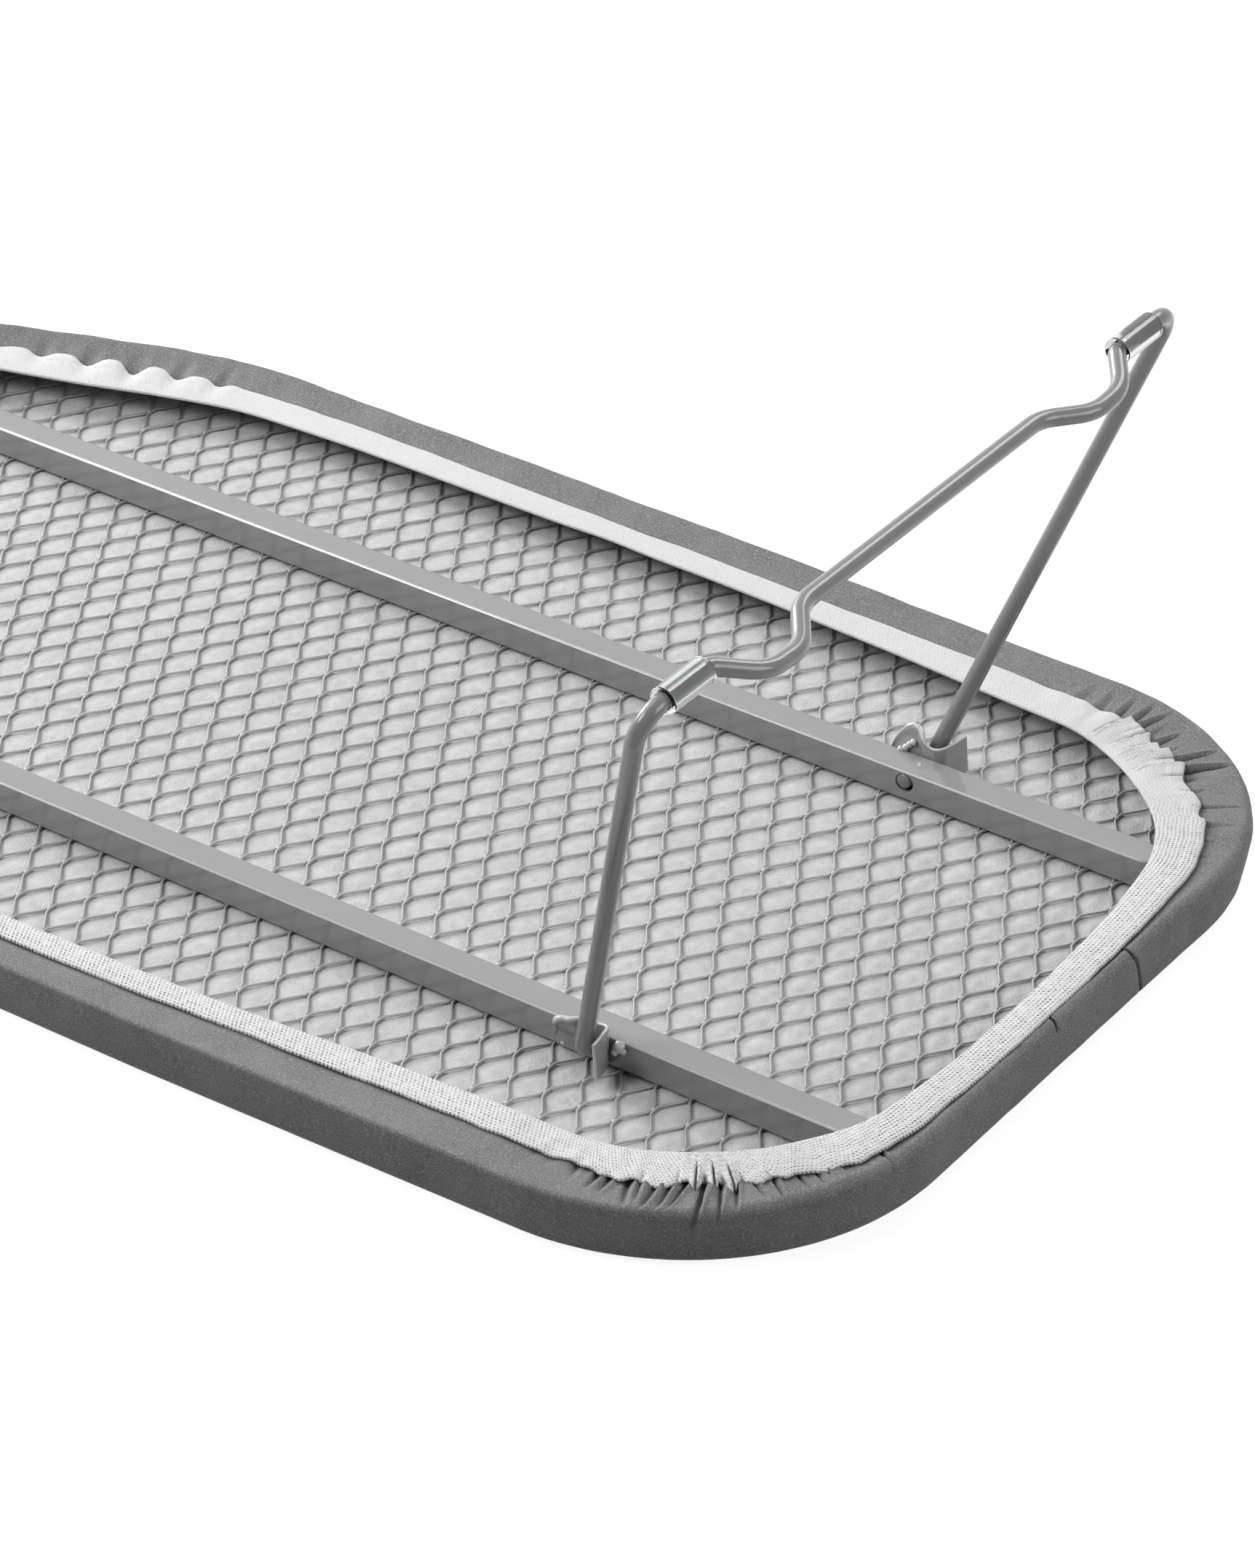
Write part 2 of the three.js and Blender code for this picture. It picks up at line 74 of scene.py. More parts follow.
def valueNoise(u, v, countU, cellV, seed):
    # random heights on a lattice of countU cells round the loop (u from 0 to 1) by cellV, eased between
    lattice = np.random.default_rng(seed).uniform(-1, 1, (countU, latticeLength))
    x, y = (u % 1.0) * countU, v / cellV + latticeStart
    i, j = np.floor(x).astype(int), np.floor(y).astype(int)
    fx, fy = easeBetween(0, 1, x - i), easeBetween(0, 1, y - j)
    i0, i1, j0, j1 = i % countU, (i + 1) % countU, j % latticeLength, (j + 1) % latticeLength
    low = lattice[i0, j0] * (1 - fx) + lattice[i1, j0] * fx
    high = lattice[i0, j1] * (1 - fx) + lattice[i1, j1] * fx
    return low * (1 - fy) + high * fy


# Meshes from arrays

def gridFaces(rows, columns, loopRows, loopColumns):
    # quads of a grid of points; a looped direction joins its last line to its first
    r = np.arange(rows if loopRows else rows - 1)[:, None]
    c = np.arange(columns if loopColumns else columns - 1)[None, :]
    corners = [(r, c), (r, c + 1), (r + 1, c + 1), (r + 1, c)]
    index = [(a % rows) * columns + b % columns for a, b in corners]
    return np.stack(index, -1).reshape(-1, 4), corners


def meshFrom(name, points, faces, uv=None, caps=()):
    # vertices, quads and a few larger end faces put in by whole arrays
    mesh = bpy.data.meshes.new(name)
    mesh.vertices.add(len(points))
    mesh.vertices.foreach_set("co", np.ascontiguousarray(points, np.float32).ravel())
    loops = np.concatenate([faces.ravel(), *[np.asarray(cap) for cap in caps]]).astype(np.int32)
    sizes = np.r_[np.full(len(faces), faces.shape[1]), [len(cap) for cap in caps]].astype(np.int32)
    mesh.loops.add(len(loops))
    mesh.loops.foreach_set("vertex_index", loops)
    mesh.polygons.add(len(sizes))
    mesh.polygons.foreach_set("loop_start", np.r_[0, np.cumsum(sizes)[:-1]].astype(np.int32))
    if uv is not None:
        layer = mesh.uv_layers.new(name="surface")
        flat = np.zeros((len(loops), 2), np.float32)
        flat[:len(uv)] = uv
        layer.data.foreach_set("uv", flat.ravel())
    mesh.update(calc_edges=True)
    mesh.polygons.foreach_set("use_smooth", np.ones(len(sizes), bool))
    mesh.validate()
    return mesh


def turnedOut(points, faces):
    # faces in the order that makes the closed body's volume positive
    a, b, c, d = (points[faces[:, k]] for k in range(4))
    volume = np.einsum("ij,ij->", a, np.cross(b, c)) + np.einsum("ij,ij->", a, np.cross(c, d))
    return faces if volume > 0 else faces[:, ::-1]


def addObject(name, data):
    thing = bpy.data.objects.new(name, data)
    bpy.context.scene.collection.objects.link(thing)
    return thing


def addPiece(name, mesh, material, slot, body="board", replaces=()):
    piece = addObject(name, mesh)
    mesh.materials.append(material)
    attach(piece, body)
    if replaces:
        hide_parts(*replaces)
    return piece


seamGap = 1e-6


def weldSeams(mesh):
    # joins the points that lie on each other, such as those along a spine
    work = bmesh.new()
    work.from_mesh(mesh)
    bmesh.ops.remove_doubles(work, verts=work.verts, dist=seamGap)
    work.to_mesh(mesh)
    work.free()
    mesh.update()


def setMask(mesh, label, values):  # a value from 0 to 1 on each point, under the mask's name
    mesh.attributes.new(label, "FLOAT", "POINT").data.foreach_set("value", values.astype(np.float32).ravel())


def gridPiece(name, grid, material, slot, loopRows, loopColumns, uvGrid=None, weld=False, masks=None,
              **facts):
    rows, columns = grid.shape[:2]
    points = grid.reshape(-1, 3)
    quads, corners = gridFaces(rows, columns, loopRows, loopColumns)
    outward = turnedOut(points, quads)
    uv = None
    if uvGrid is not None:
        uv = np.stack([uvGrid[a, b] for a, b in corners], -2).reshape(-1, 4, 2)
        uv = (uv if outward is quads else uv[:, ::-1]).reshape(-1, 2)
    mesh = meshFrom(name, points, outward, uv)
    for label, values in (masks or {}).items():
        setMask(mesh, label, values)
    if weld:
        weldSeams(mesh)
    return addPiece(name, mesh, material, slot, **facts)


# Shader helpers

def feed(tree, socket, value):  # another node's output, or a plain value
    if isinstance(value, bpy.types.NodeSocket):
        tree.links.new(value, socket)
    else:
        socket.default_value = value


def addNode(tree, kind, inputs=None, **settings):
    node = tree.nodes.new(kind)
    for key, value in settings.items():
        setattr(node, key, value)
    for key, value in (inputs or {}).items():
        feed(tree, node.inputs[key], value)
    return node


def calc(tree, operation, a, b=0.0, c=0.0):
    return addNode(tree, "ShaderNodeMath", {0: a, 1: b, 2: c}, operation=operation).outputs[0]


def mixColour(tree, factor, a, b):
    return addNode(tree, "ShaderNodeMix", {0: factor, 6: a, 7: b}, data_type="RGBA").outputs[2]


def rescale(tree, value, toLow, toHigh, fromLow=0.0, fromHigh=1.0):
    inputs = {0: value, 1: fromLow, 2: fromHigh, 3: toLow, 4: toHigh}
    return addNode(tree, "ShaderNodeMapRange", inputs).outputs[0]


def newGroup(name, inputs, outputs):
    group = bpy.data.node_groups.new(name, "ShaderNodeTree")
    for side, sockets in (("INPUT", inputs), ("OUTPUT", outputs)):
        for label, kind in sockets.items():
            group.interface.new_socket(name=label, in_out=side, socket_type="NodeSocket" + kind)
    return group, group.nodes.new("NodeGroupInput").outputs, group.nodes.new("NodeGroupOutput").inputs


noiseSpan = (0.3, 0.7)  # where most of the noise's own values lie


def makeGrain():
    # patchy: broad soft noise; grainy: fine noise; both from 0 to 1
    group, given, out = newGroup("grain", {"Vector": "Vector", "Patch size": "Float", "Grain size": "Float"},
                                 {"Patchy": "Float", "Grainy": "Float"})
    for label, size, detail in (("Patchy", "Patch size", 3.0), ("Grainy", "Grain size", 1.0)):
        scale = calc(group, "DIVIDE", 1.0, given[size])
        noise = addNode(group, "ShaderNodeTexNoise",
                        {"Vector": given["Vector"], "Scale": scale, "Detail": detail})
        feed(group, out[label], rescale(group, noise.outputs["Fac"], 0.0, 1.0, *noiseSpan))
    return group


threadSlant, gapSpan = 0.5, (0.45, 0.85)  # lean of one set of threads; ridge heights over which a gap closes


def makeThreads():
    # two crossing sets of threads on the surface's own map: |sin| ridges, the higher one shows; gaps between
    group, given, out = newGroup("threads", {"Map": "Vector", "Pitch along": "Float",
                                             "Pitch across": "Float"},
                                 {"Height": "Float", "Gaps": "Float"})
    parts = addNode(group, "ShaderNodeSeparateXYZ", {0: given["Map"]})
    slanted = calc(group, "MULTIPLY_ADD", parts.outputs[1], threadSlant, parts.outputs[0])
    waves = []
    for place, pitch in ((slanted, "Pitch along"), (parts.outputs[1], "Pitch across")):
        phase = calc(group, "DIVIDE", calc(group, "MULTIPLY", place, math.pi), given[pitch])
        waves.append(calc(group, "ABSOLUTE", calc(group, "SINE", phase)))
    height = calc(group, "MAXIMUM", *waves)
    feed(group, out["Height"], height)
    feed(group, out["Gaps"], rescale(group, height, 1.0, 0.0, *gapSpan))
    return group


grainGroup = makeGrain()
threadsGroup = makeThreads()


def clearTree(owner):
    owner.use_nodes = True
    owner.node_tree.nodes.clear()
    return owner.node_tree


def grainyMaterial(name, look):
    # a Principled shader whose plain values sit on its own sockets, and the grain of its surface
    material = bpy.data.materials.new(name)
    tree = clearTree(material)
    shader = addNode(tree, "ShaderNodeBsdfPrincipled", look["plain"])
    addNode(tree, "ShaderNodeOutputMaterial", {"Surface": shader.outputs["BSDF"]})
    place = addNode(tree, "ShaderNodeTexCoord").outputs["Object"]
    sizes = {"Vector": place, "Patch size": look["patch"], "Grain size": look["grain"]}
    return material, tree, shader, addNode(tree, "ShaderNodeGroup", sizes, node_tree=grainGroup).outputs


def threadsOn(tree, along, across):
    place = addNode(tree, "ShaderNodeUVMap", uv_map="surface").outputs["UV"]
    sizes = {"Map": place, "Pitch along": along, "Pitch across": across}
    return addNode(tree, "ShaderNodeGroup", sizes, node_tree=threadsGroup).outputs


def maskOn(tree, label):
    return addNode(tree, "ShaderNodeAttribute", attribute_name=label).outputs["Fac"]


def grey(level, tint=0.0):
    return (level * (1 + tint), level, level * (1 - tint), 1.0)


def patchyGrey(tree, grain, level, look):  # two close greys, mixed in patches
    dark, light = (grey(level * shade, look["tint"]) for shade in look["shades"])
    return mixColour(tree, grain["Patchy"], dark, light)


def bump(tree, shader, *layers):
    # layers of (height, depth in metres), each resting on the last
    normal = None
    for height, depth in layers:
        node = addNode(tree, "ShaderNodeBump", {"Height": height, "Distance": depth, "Strength": 1.0})
        if normal is not None:
            tree.links.new(normal, node.inputs["Normal"])
        normal = node.outputs["Normal"]
    tree.links.new(normal, shader.inputs["Normal"])


# Materials

# the lighter grey for edges is a painted highlight along rolled and pressed edges
paintLook = {
    "shades": (0.96, 1.04), "tint": -0.006, "wornLevel": 0.8, "rough": (0.42, 0.52),
    "patch": 30 * mm, "grain": 0.55 * mm, "orangePeel": 0.008 * mm,
    "plain": {"Specular IOR Level": 0.15, "Coat Weight": 1.0, "Coat IOR": 1.6},
}


def makeGreyPaint(name, level, coatRough=0.08):
    look = paintLook
    material, tree, shader, grain = grainyMaterial(name, look)
    shader.inputs["Coat Roughness"].default_value = coatRough
    painted = patchyGrey(tree, grain, level, look)
    # painted highlight: lighter grey where the edge mask is set, on the rails' rounded top edges and the
    # brackets' borders
    colour = mixColour(tree, maskOn(tree, "worn"), painted, grey(look["wornLevel"]))
    feed(tree, shader.inputs["Base Color"], colour)
    feed(tree, shader.inputs["Roughness"], rescale(tree, grain["Grainy"], *look["rough"]))
    bump(tree, shader, (grain["Grainy"], look["orangePeel"]))
    return material


# the lighter flecks are partly the coating's own speckle, partly painted glints of its sparkle
clothLook = {
    "level": 0.19, "shades": (0.82, 1.1), "tint": -0.008, "fleckLevel": 0.36, "fleckPower": 2.5,
    "foldLevel": 0.02,
    "patch": 14 * mm, "grain": 0.42 * mm, "pitch": 0.36 * mm, "grainDepth": 0.05 * mm,
    "threadDepth": 0.03 * mm,
    "rough": (0.8, 0.6), "plain": {"Specular IOR Level": 0.35, "Sheen Weight": 0.35, "Sheen Roughness": 0.3},
}


def makeCoverCloth():
    look = clothLook
    material, tree, shader, grain = grainyMaterial("coverCloth", look)
    threads = threadsOn(tree, look["pitch"], look["pitch"])
    # flecks: the coating's speckle and painted glints
    flecksAndGlints = calc(tree, "POWER", grain["Grainy"], look["fleckPower"])
    base = patchyGrey(tree, grain, look["level"], look)
    coloured = mixColour(tree, flecksAndGlints, base, grey(look["fleckLevel"], look["tint"]))
    # painted shade in fold valleys, seam grooves and just under the elastic's edge
    shaded = mixColour(tree, maskOn(tree, "folded"), coloured, grey(look["foldLevel"]))
    feed(tree, shader.inputs["Base Color"], shaded)
    feed(tree, shader.inputs["Roughness"], rescale(tree, grain["Grainy"], *look["rough"]))
    bump(tree, shader, (threads["Height"], look["threadDepth"]), (grain["Grainy"], look["grainDepth"]))
    return material


# the crease colour is painted shade in the creases across the band
knitLook = {
    "level": 0.97, "slackLevel": 0.86, "gapLevel": 0.1, "creaseLevel": 0.1, "fluffLevel": 0.5,
    "fluffShare": 0.22, "patch": 1.9 * mm, "grain": 0.5 * mm, "fluffDepth": 0.1 * mm,
    "pitchAlong": 1.25 * mm, "pitchAcross": 1.15 * mm, "threadDepth": 0.2 * mm,
    "gapShare": (0.2, 1.0, 0.15, 0.85),  # how open the gaps are, low and high, over this part of the patches
    "plain": {"Roughness": 0.9, "Specular IOR Level": 0.25},
}


def makeElasticKnit():
    look = knitLook
    material, tree, shader, grain = grainyMaterial("elasticKnit", look)
    threads = threadsOn(tree, look["pitchAlong"], look["pitchAcross"])
    stretched = maskOn(tree, "stretched")
    gaps = calc(tree, "MULTIPLY", threads["Gaps"], rescale(tree, grain["Patchy"], *look["gapShare"]))
    gaps = calc(tree, "MULTIPLY", gaps, stretched)
    yarn = mixColour(tree, stretched, grey(look["slackLevel"]), grey(look["level"]))
    base = mixColour(tree, gaps, yarn, grey(look["gapLevel"]))
    fluff = rescale(tree, grain["Grainy"], 0.0, look["fluffShare"])
    shaded = mixColour(tree, fluff, base, grey(look["fluffLevel"]))
    # painted shade in the creases across the band
    creased = mixColour(tree, maskOn(tree, "folded"), shaded, grey(look["creaseLevel"]))
    feed(tree, shader.inputs["Base Color"], creased)
    ribs = calc(tree, "MULTIPLY", threads["Height"], stretched)
    bump(tree, shader, (ribs, look["threadDepth"]), (grain["Grainy"], look["fluffDepth"]))
    return material


feltLook = {
    "shades": (0.585, 0.72), "tint": 0.0, "fibreLevel": 0.86, "fibreShare": 0.25,
    "patch": 4 * mm, "grain": 0.7 * mm, "depth": 0.09 * mm,
    "plain": {"Roughness": 0.95, "Specular IOR Level": 0.2},
}


def makeFelt():
    look = feltLook
    material, tree, shader, grain = grainyMaterial("felt", look)
    fibres = rescale(tree, grain["Grainy"], 0.0, look["fibreShare"])
    mottled = mixColour(tree, fibres, patchyGrey(tree, grain, 1.0, look), grey(look["fibreLevel"]))
    feed(tree, shader.inputs["Base Color"], mottled)
    bump(tree, shader, (grain["Patchy"], look["depth"]), (grain["Grainy"], look["depth"]))
    return material


vinylLook = {
    "patch": 4 * mm, "grain": 0.8 * mm, "depth": 0.012 * mm, "rough": (0.01, 0.04),
    "plain": {"Base Color": (0.77, 0.78, 0.787, 1.0), "Transmission Weight": 1.0, "IOR": 1.43},
}


def makeClearVinyl():
    look = vinylLook
    material, tree, shader, grain = grainyMaterial("clearVinyl", look)
    feed(tree, shader.inputs["Roughness"], rescale(tree, grain["Patchy"], *look["rough"]))
    bump(tree, shader, (grain["Patchy"], look["depth"]))
    return material


greyPaint = makeGreyPaint("greyPaint", 0.345)
wirePaint = makeGreyPaint("wirePaint", 0.23, 0.2)  # darker, with a duller coat
meshPaint = makeGreyPaint("meshPaint", 0.44)
# lighter greys for the drops on joints and welds are painted highlights
brightDrops = makeGreyPaint("brightDrops", 0.66)
weldPaint = makeGreyPaint("weldPaint", 0.85)
coverCloth = makeCoverCloth()
elasticKnit = makeElasticKnit()
felt = makeFelt()
clearVinyl = makeClearVinyl()
print("materials made")


# The board's edge, over the cover

boardEdge = {
    "squareEndWidth": 295 * mm, "cornerRadius": 80 * mm, "fullWidthFromEnd": 205 * mm,
    "shoulderFromNose": 360 * mm, "neckFromNose": 303 * mm, "neckWidth": 277 * mm,
    "neckAngle": math.radians(20.8), "noseRadius": 62 * mm, "noseSideAngle": math.radians(11.3),
    "handle": 0.36, "step": 0.5 * mm, "arcPoints": 240, "normalSmoothing": 3 * mm,
}
coverLow, coverHigh = (np.array(corner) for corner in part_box("cover"))
squareEndX, noseTipX, halfBoard = coverHigh[0], coverLow[0], coverHigh[1]


def halfEdge():
    # far half of the outline as a fine line: end, corner arc, side, two Bezier bends, nose arc
    e = boardEdge
    slant, count = e["noseSideAngle"], e["arcPoints"]

    def arc(centreX, centreY, radius, first, last):
        turn = np.linspace(first, last, count)
        return np.c_[centreX + radius * np.cos(turn), centreY + radius * np.sin(turn)]

    def bend(start, startAngle, end, endAngle):
        reach = np.linalg.norm(end - start) * e["handle"]
        first = start - reach * np.array([math.cos(startAngle), math.sin(startAngle)])
        second = end + reach * np.array([math.cos(endAngle), math.sin(endAngle)])
        t = np.linspace(0, 1, count)[:, None]
        return ((1 - t) ** 3 * start + 3 * (1 - t) ** 2 * t * first
                + 3 * (1 - t) * t * t * second + t ** 3 * end)

    cornerX, cornerY = squareEndX - e["cornerRadius"], e["squareEndWidth"] / 2 - e["cornerRadius"]
    shoulder = np.array([noseTipX + e["shoulderFromNose"], halfBoard])
    neck = np.array([noseTipX + e["neckFromNose"], e["neckWidth"] / 2])
    nose = arc(noseTipX + e["noseRadius"], 0, e["noseRadius"], math.pi / 2 + slant, math.pi)
    line = np.vstack([[[squareEndX, 0]], arc(cornerX, cornerY, e["cornerRadius"], 0, math.pi / 2),
                      [[squareEndX - e["fullWidthFromEnd"], halfBoard]],
                      bend(shoulder, 0, neck, e["neckAngle"]),
                      bend(neck, e["neckAngle"], nose[0], slant), nose])
    run = np.r_[0, np.cumsum(np.hypot(*np.diff(line, axis=0).T))]
    place = np.linspace(0, run[-1], int(run[-1] / e["step"]))
    return place, np.interp(place, run, line[:, 0]), np.interp(place, run, line[:, 1])


def smoothed(values, sigma, odd=False):
    # a Gaussian average along the half edge, which goes on mirrored past both its ends
    reach = int(3 * sigma / boardEdge["step"])
    kernel = np.exp(-0.5 * (np.arange(-reach, reach + 1) * boardEdge["step"] / sigma) ** 2)
    sign = -1 if odd else 1
    longer = np.r_[sign * values[reach:0:-1], values, sign * values[-2:-reach - 2:-1]]
    return np.convolve(longer, kernel / kernel.sum(), "valid")


edgePlace, edgeX, edgeY = halfEdge()
halfLength = edgePlace[-1]
normalX = smoothed(np.gradient(edgeY, edgePlace), boardEdge["normalSmoothing"])
normalY = smoothed(-np.gradient(edgeX, edgePlace), boardEdge["normalSmoothing"], odd=True)
normalSize = np.hypot(normalX, normalY)


def edgeAt(s):
    # point and outward normal at s, which is above zero on the far side and below it on the near side
    side = np.where(s < 0, -1.0, 1.0)
    at = np.abs(s)
    point = np.stack([np.interp(at, edgePlace, edgeX), side * np.interp(at, edgePlace, edgeY)], -1)
    normal = np.stack([np.interp(at, edgePlace, normalX / normalSize),
                       side * np.interp(at, edgePlace, normalY / normalSize)], -1)
    return point, normal


def ringsAt(s, insets, heights):
    # rows of points round the loop, each at its inset from the outline and its height
    point, normal = edgeAt(s)
    return np.concatenate([point - normal * insets[..., None], heights[..., None]], -1)


def loopMap(s, across):
    # a surface's own map in metres, along the edge and across it, closed with its first column
    along = np.r_[np.where(s < 0, s + 2 * halfLength, s), 2 * halfLength]
    across = np.c_[across, across[:, :1]]
    return np.stack([along + 0 * across, across], -1)


def loopStations(places, steps):
    # stations round the whole loop, closer together where steps is small; both halves mirror
    density = 1 / np.interp(edgePlace, np.array(places) * mm, np.array(steps) * mm)
    count = np.r_[0, np.cumsum(density[:-1] * np.diff(edgePlace))]
    half = np.interp(np.linspace(0, count[-1], int(count[-1]) + 1), count, edgePlace)
    return np.r_[half, -half[-2:0:-1]]


fineLoop = loopStations([0, 6, 6.5, 8.5, 9, 30, 31, 37, 38, 60, 80, 116, 121, 147, 151, 195, 215, 490, 505,
                         600, 625, 780, 800, 892],
                        [2.6, 2.6, 0.3, 0.3, 2.6, 2.6, 0.25, 0.25, 2.6, 2.6, 0.6, 0.6, 0.36, 0.36, 0.55, 0.6,
                         2.8, 2.8, 1.4, 1.4, 3, 3, 2, 2])
plainLoop = loopStations([0, 892], [2.0, 2.0])
print("edge:", len(fineLoop), "stations, half length", round(halfLength / mm, 1), "mm")


# Elastic band's line: place along the edge, then how far its outer and inner edges lie in,
# on the near and the far side, and the heights of both edges

bandLine = {
    "place": [0, 40, 57, 77, 99, 114, 130, 148, 164, 186, 211, 247, 294, 342, 356, 370, 453, 486, 520, 551,
              581, 613, 811, 892],
    "nearOuter": [3.5, 3.5, 4.6, 5.4, 7.4, 9.8, 12.5, 14.2, 14.2, 15, 15.6, 15.1, 14.2, 12.6, 12.2, 11.9,
                  11.5, 12.5, 14, 15, 14, 12.5, 12, 10],
    "nearInner": [13.3, 13.6, 15.2, 17.6, 21.8, 23.6, 25.6, 26.6, 26.8, 26.6, 27, 25.7, 22.9, 21.6, 21.2,
                  20.8, 21, 22.5, 24.5, 26, 25.5, 24, 22, 20],
    "farOuter": [3.5, 4.6, 5.8, 7.4, 9.8, 12.2, 14.5, 14.6, 14.2, 14, 12.9, 13, 13, 12.5, 12.4, 12.4, 11,
                 12.3, 14, 14.2, 12.6, 12.2, 12, 10],
    "farInner": [13.3, 15, 17.2, 20.4, 23.9, 26.6, 28.6, 29.4, 29, 27.4, 26.2, 23.8, 22.2, 21.6, 20.5, 21.5,
                 21.7, 23.4, 26.4, 27, 25.8, 24.4, 22, 20],
    "outerHeight": [17.9, 17.9, 18.1, 18.1, 18.1, 17.8, 17.4, 17.1, 16.8, 16.5, 16.3, 16.1, 15.9, 15.8, 15.8,
                    15.8, 15.8, 15.8, 16.2, 16.7, 17.2, 17.9, 17.9, 17.9],
    "innerHeight": [17.8, 17.8, 18.1, 18.1, 18.1, 17.6, 17.2, 16.9, 16.5, 16.2, 15.9, 15.7, 15.6, 15.5, 15.5,
                    15.5, 15.5, 15.5, 15.9, 16.4, 17, 17.8, 17.8, 17.8],
    "smoothing": 6 * mm,
}


def bandCurves(s):
    # the band's four curves at s, eased between the stations of bandLine
    table = bandLine
    place = np.array(table["place"]) * mm
    at, near = np.abs(s), s < 0

    def curve(key):
        dense = smoothed(np.interp(edgePlace, place, np.array(table[key]) * mm), table["smoothing"])
        return np.interp(at, edgePlace, dense)

    outer = np.where(near, curve("nearOuter"), curve("farOuter"))
    inner = np.where(near, curve("nearInner"), curve("farInner"))
    return outer, inner, curve("outerHeight"), curve("innerHeight")


# Gathers that the elastic and the cover share, at places in mm (near side below zero)

gathers = {
    # scallops of the elastic's outer edge: place, half width, how far out
    "scallops": [(-164.5, 2.4, 1.8), (-152, 5, 2.4), (-122.5, 2.4, 2.4), (-114.5, 2.4, 1.8),
                 (-103, 2.2, 1.0), (-92, 3, 0.8), (-171, 2, 0.6)],
    # narrow loops where folded elastic hangs over the cover: place, half width, how far out
    "loops": [(-141.4, 1.9, 3.4), (-136.0, 1.7, 3.3), (-130.6, 1.9, 3.2)],
    # overlapping pleats, each high at its place and running out to the square end: place, run, lift, out
    "pleats": [(171.3, 11, 1.3, 1.8), (159.9, 6, 1.0, 1.2), (153, 5, 1.1, 1.2), (147.4, 8, 1.4, 1.5),
               (138.3, 11, 1.8, 2.2), (104, 6, 0.3, 0.9)],
    # soft puffs at the neck: spacing, one puff's middle, where they start and end, how far out and up
    "puffs": {"spacing": 15.6, "middle": 549, "window": (498, 518, 568, 592), "out": 1.8, "lift": 0.8,
              "nearShift": 5.0, "nearShare": 0.6, "uneven": 0.3, "valleys": 1.7},
    "corner": (70, 95, 180, 215), "nose": (770, 810), "noseShare": 0.8,
    "ruffle": 0.55, "evenRuffle": 0.16, "ruffleSteps": (262, 187), "ruffleSeed": 40,
}


def cornerShare(s):  # 1 where the cloth is gathered round the corners, and less round the nose
    at = np.abs(s) / mm
    return window(at, *gathers["corner"]) + gathers["noseShare"] * easeBetween(*gathers["nose"], at)


def puffWave(s):  # cosine puffs with a window round the neck; the near side has its own, smaller ones
    p = gathers["puffs"]
    at, near = np.abs(s) / mm, s < 0
    phase = (at - p["middle"] + np.where(near, p["nearShift"], 0.0)) / p["spacing"]
    trough = (1 - np.cos(2 * math.pi * phase)) / 2
    uneven = np.where(near, p["nearShare"], 1.0) * (1 + p["uneven"] * np.sin(0.13 * at))
    return window(at, *p["window"]) * uneven * (1 - 2 * trough ** p["valleys"])


def roundLoop(at, place, width):  # half a circle's outline, sqrt(1 - share squared), with a soft foot
    share = np.clip(np.abs(at - place) / width, 0, 1)
    return np.sqrt(1 - share ** 2) * (1 - 0.3 * share)


def pleatShape(at, place, run):  # full just under its place, falling evenly to zero over its run
    ramp = np.clip(1 - (place - at) / run, 0, 1)
    return ramp ** 1.3 * (1 - easeBetween(place, place + 0.5, at))


def outerShift(s):
    # how far the elastic's outer edge stands out past its smooth line, in metres
    g, at, turn = gathers, s / mm, s / (2 * halfLength)
    shift = g["puffs"]["out"] * puffWave(s)
    shift = shift + sum(out * bell(at, place, width) for place, width, out in g["scallops"])
    shift = shift + sum(out * roundLoop(at, place, width) for place, width, out in g["loops"])
    shift = shift + sum(out * pleatShape(at, place, run) for place, run, _, out in g["pleats"])
    fine = sum(valueNoise(turn, s * 0, count, 1, g["ruffleSeed"] + k)
               for k, count in enumerate(g["ruffleSteps"]))
    return (shift + fine * (g["evenRuffle"] + g["ruffle"] * cornerShare(s))) * mm


# Elastic band

band = {
    "thickness": 0.9 * mm, "hemShare": 0.34, "hemRise": 0.16 * mm, "grooveDepth": 0.12 * mm,
    "roundShare": 0.012, "coverGap": 0.08 * mm,
    # in mm: how far the strip arches, how far pleats and loops lean inwards, how high and low a loop lies
    "arch": 0.35, "pleatLean": 2.2, "loopLean": 1.5, "loopLift": 0.8, "loopDip": 1.1,
    # how open the knit is along the edge, from 0 to 1
    "stretch": ([-892, -220, -190, -110, -80, 80, 110, 125, 200, 300, 892],
                [0.9, 0.9, 0.75, 0.75, 1, 1, 0.6, 0.25, 0.2, 0.1, 0.1]),
}
# creases across the band, in mm: place, lean inwards, reach as a share of the width, depth, half width
bandCreases = [
    (-141.6, 2.0, 0.95, 1.1, 0.5), (-135.6, 1.0, 0.9, 1.2, 0.5), (-130, 0.0, 0.9, 1.1, 0.5),
    (-138.4, 1.4, 0.3, 0.7, 1.0), (-132.7, 0.5, 0.3, 0.7, 1.0), (-126.8, -0.4, 0.35, 0.6, 0.8),
    (-118.5, -1, 0.4, 0.5, 0.7), (-158, 1, 0.4, 0.5, 0.8), (-147, 2, 0.5, 0.5, 0.6),
    (172.4, 2.4, 0.95, 1.4, 0.7), (161, 2.4, 0.85, 1.3, 0.65), (154, 2.4, 0.85, 1.3, 0.6),
    (148.4, 2.2, 0.9, 1.4, 0.6),
    (139.4, 2.2, 0.95, 1.8, 0.65), (143.2, 2, 0.5, 0.7, 0.5), (131.4, 1, 0.55, 0.6, 0.5),
    (164.5, 2, 0.5, 0.4, 0.9), (121.5, 1, 0.4, 0.4, 0.8), (112, 1, 0.3, 0.4, 0.7),
]


def creaseDepth(s, v):
    depth = 0 * s * v
    for place, lean, reach, deep, width in bandCreases:
        taper = 1 - easeBetween(reach * 0.4, reach, v)
        depth = depth + deep * bell(s / mm - lean * v, place, width * (0.5 + 0.5 * taper)) * taper
    return depth


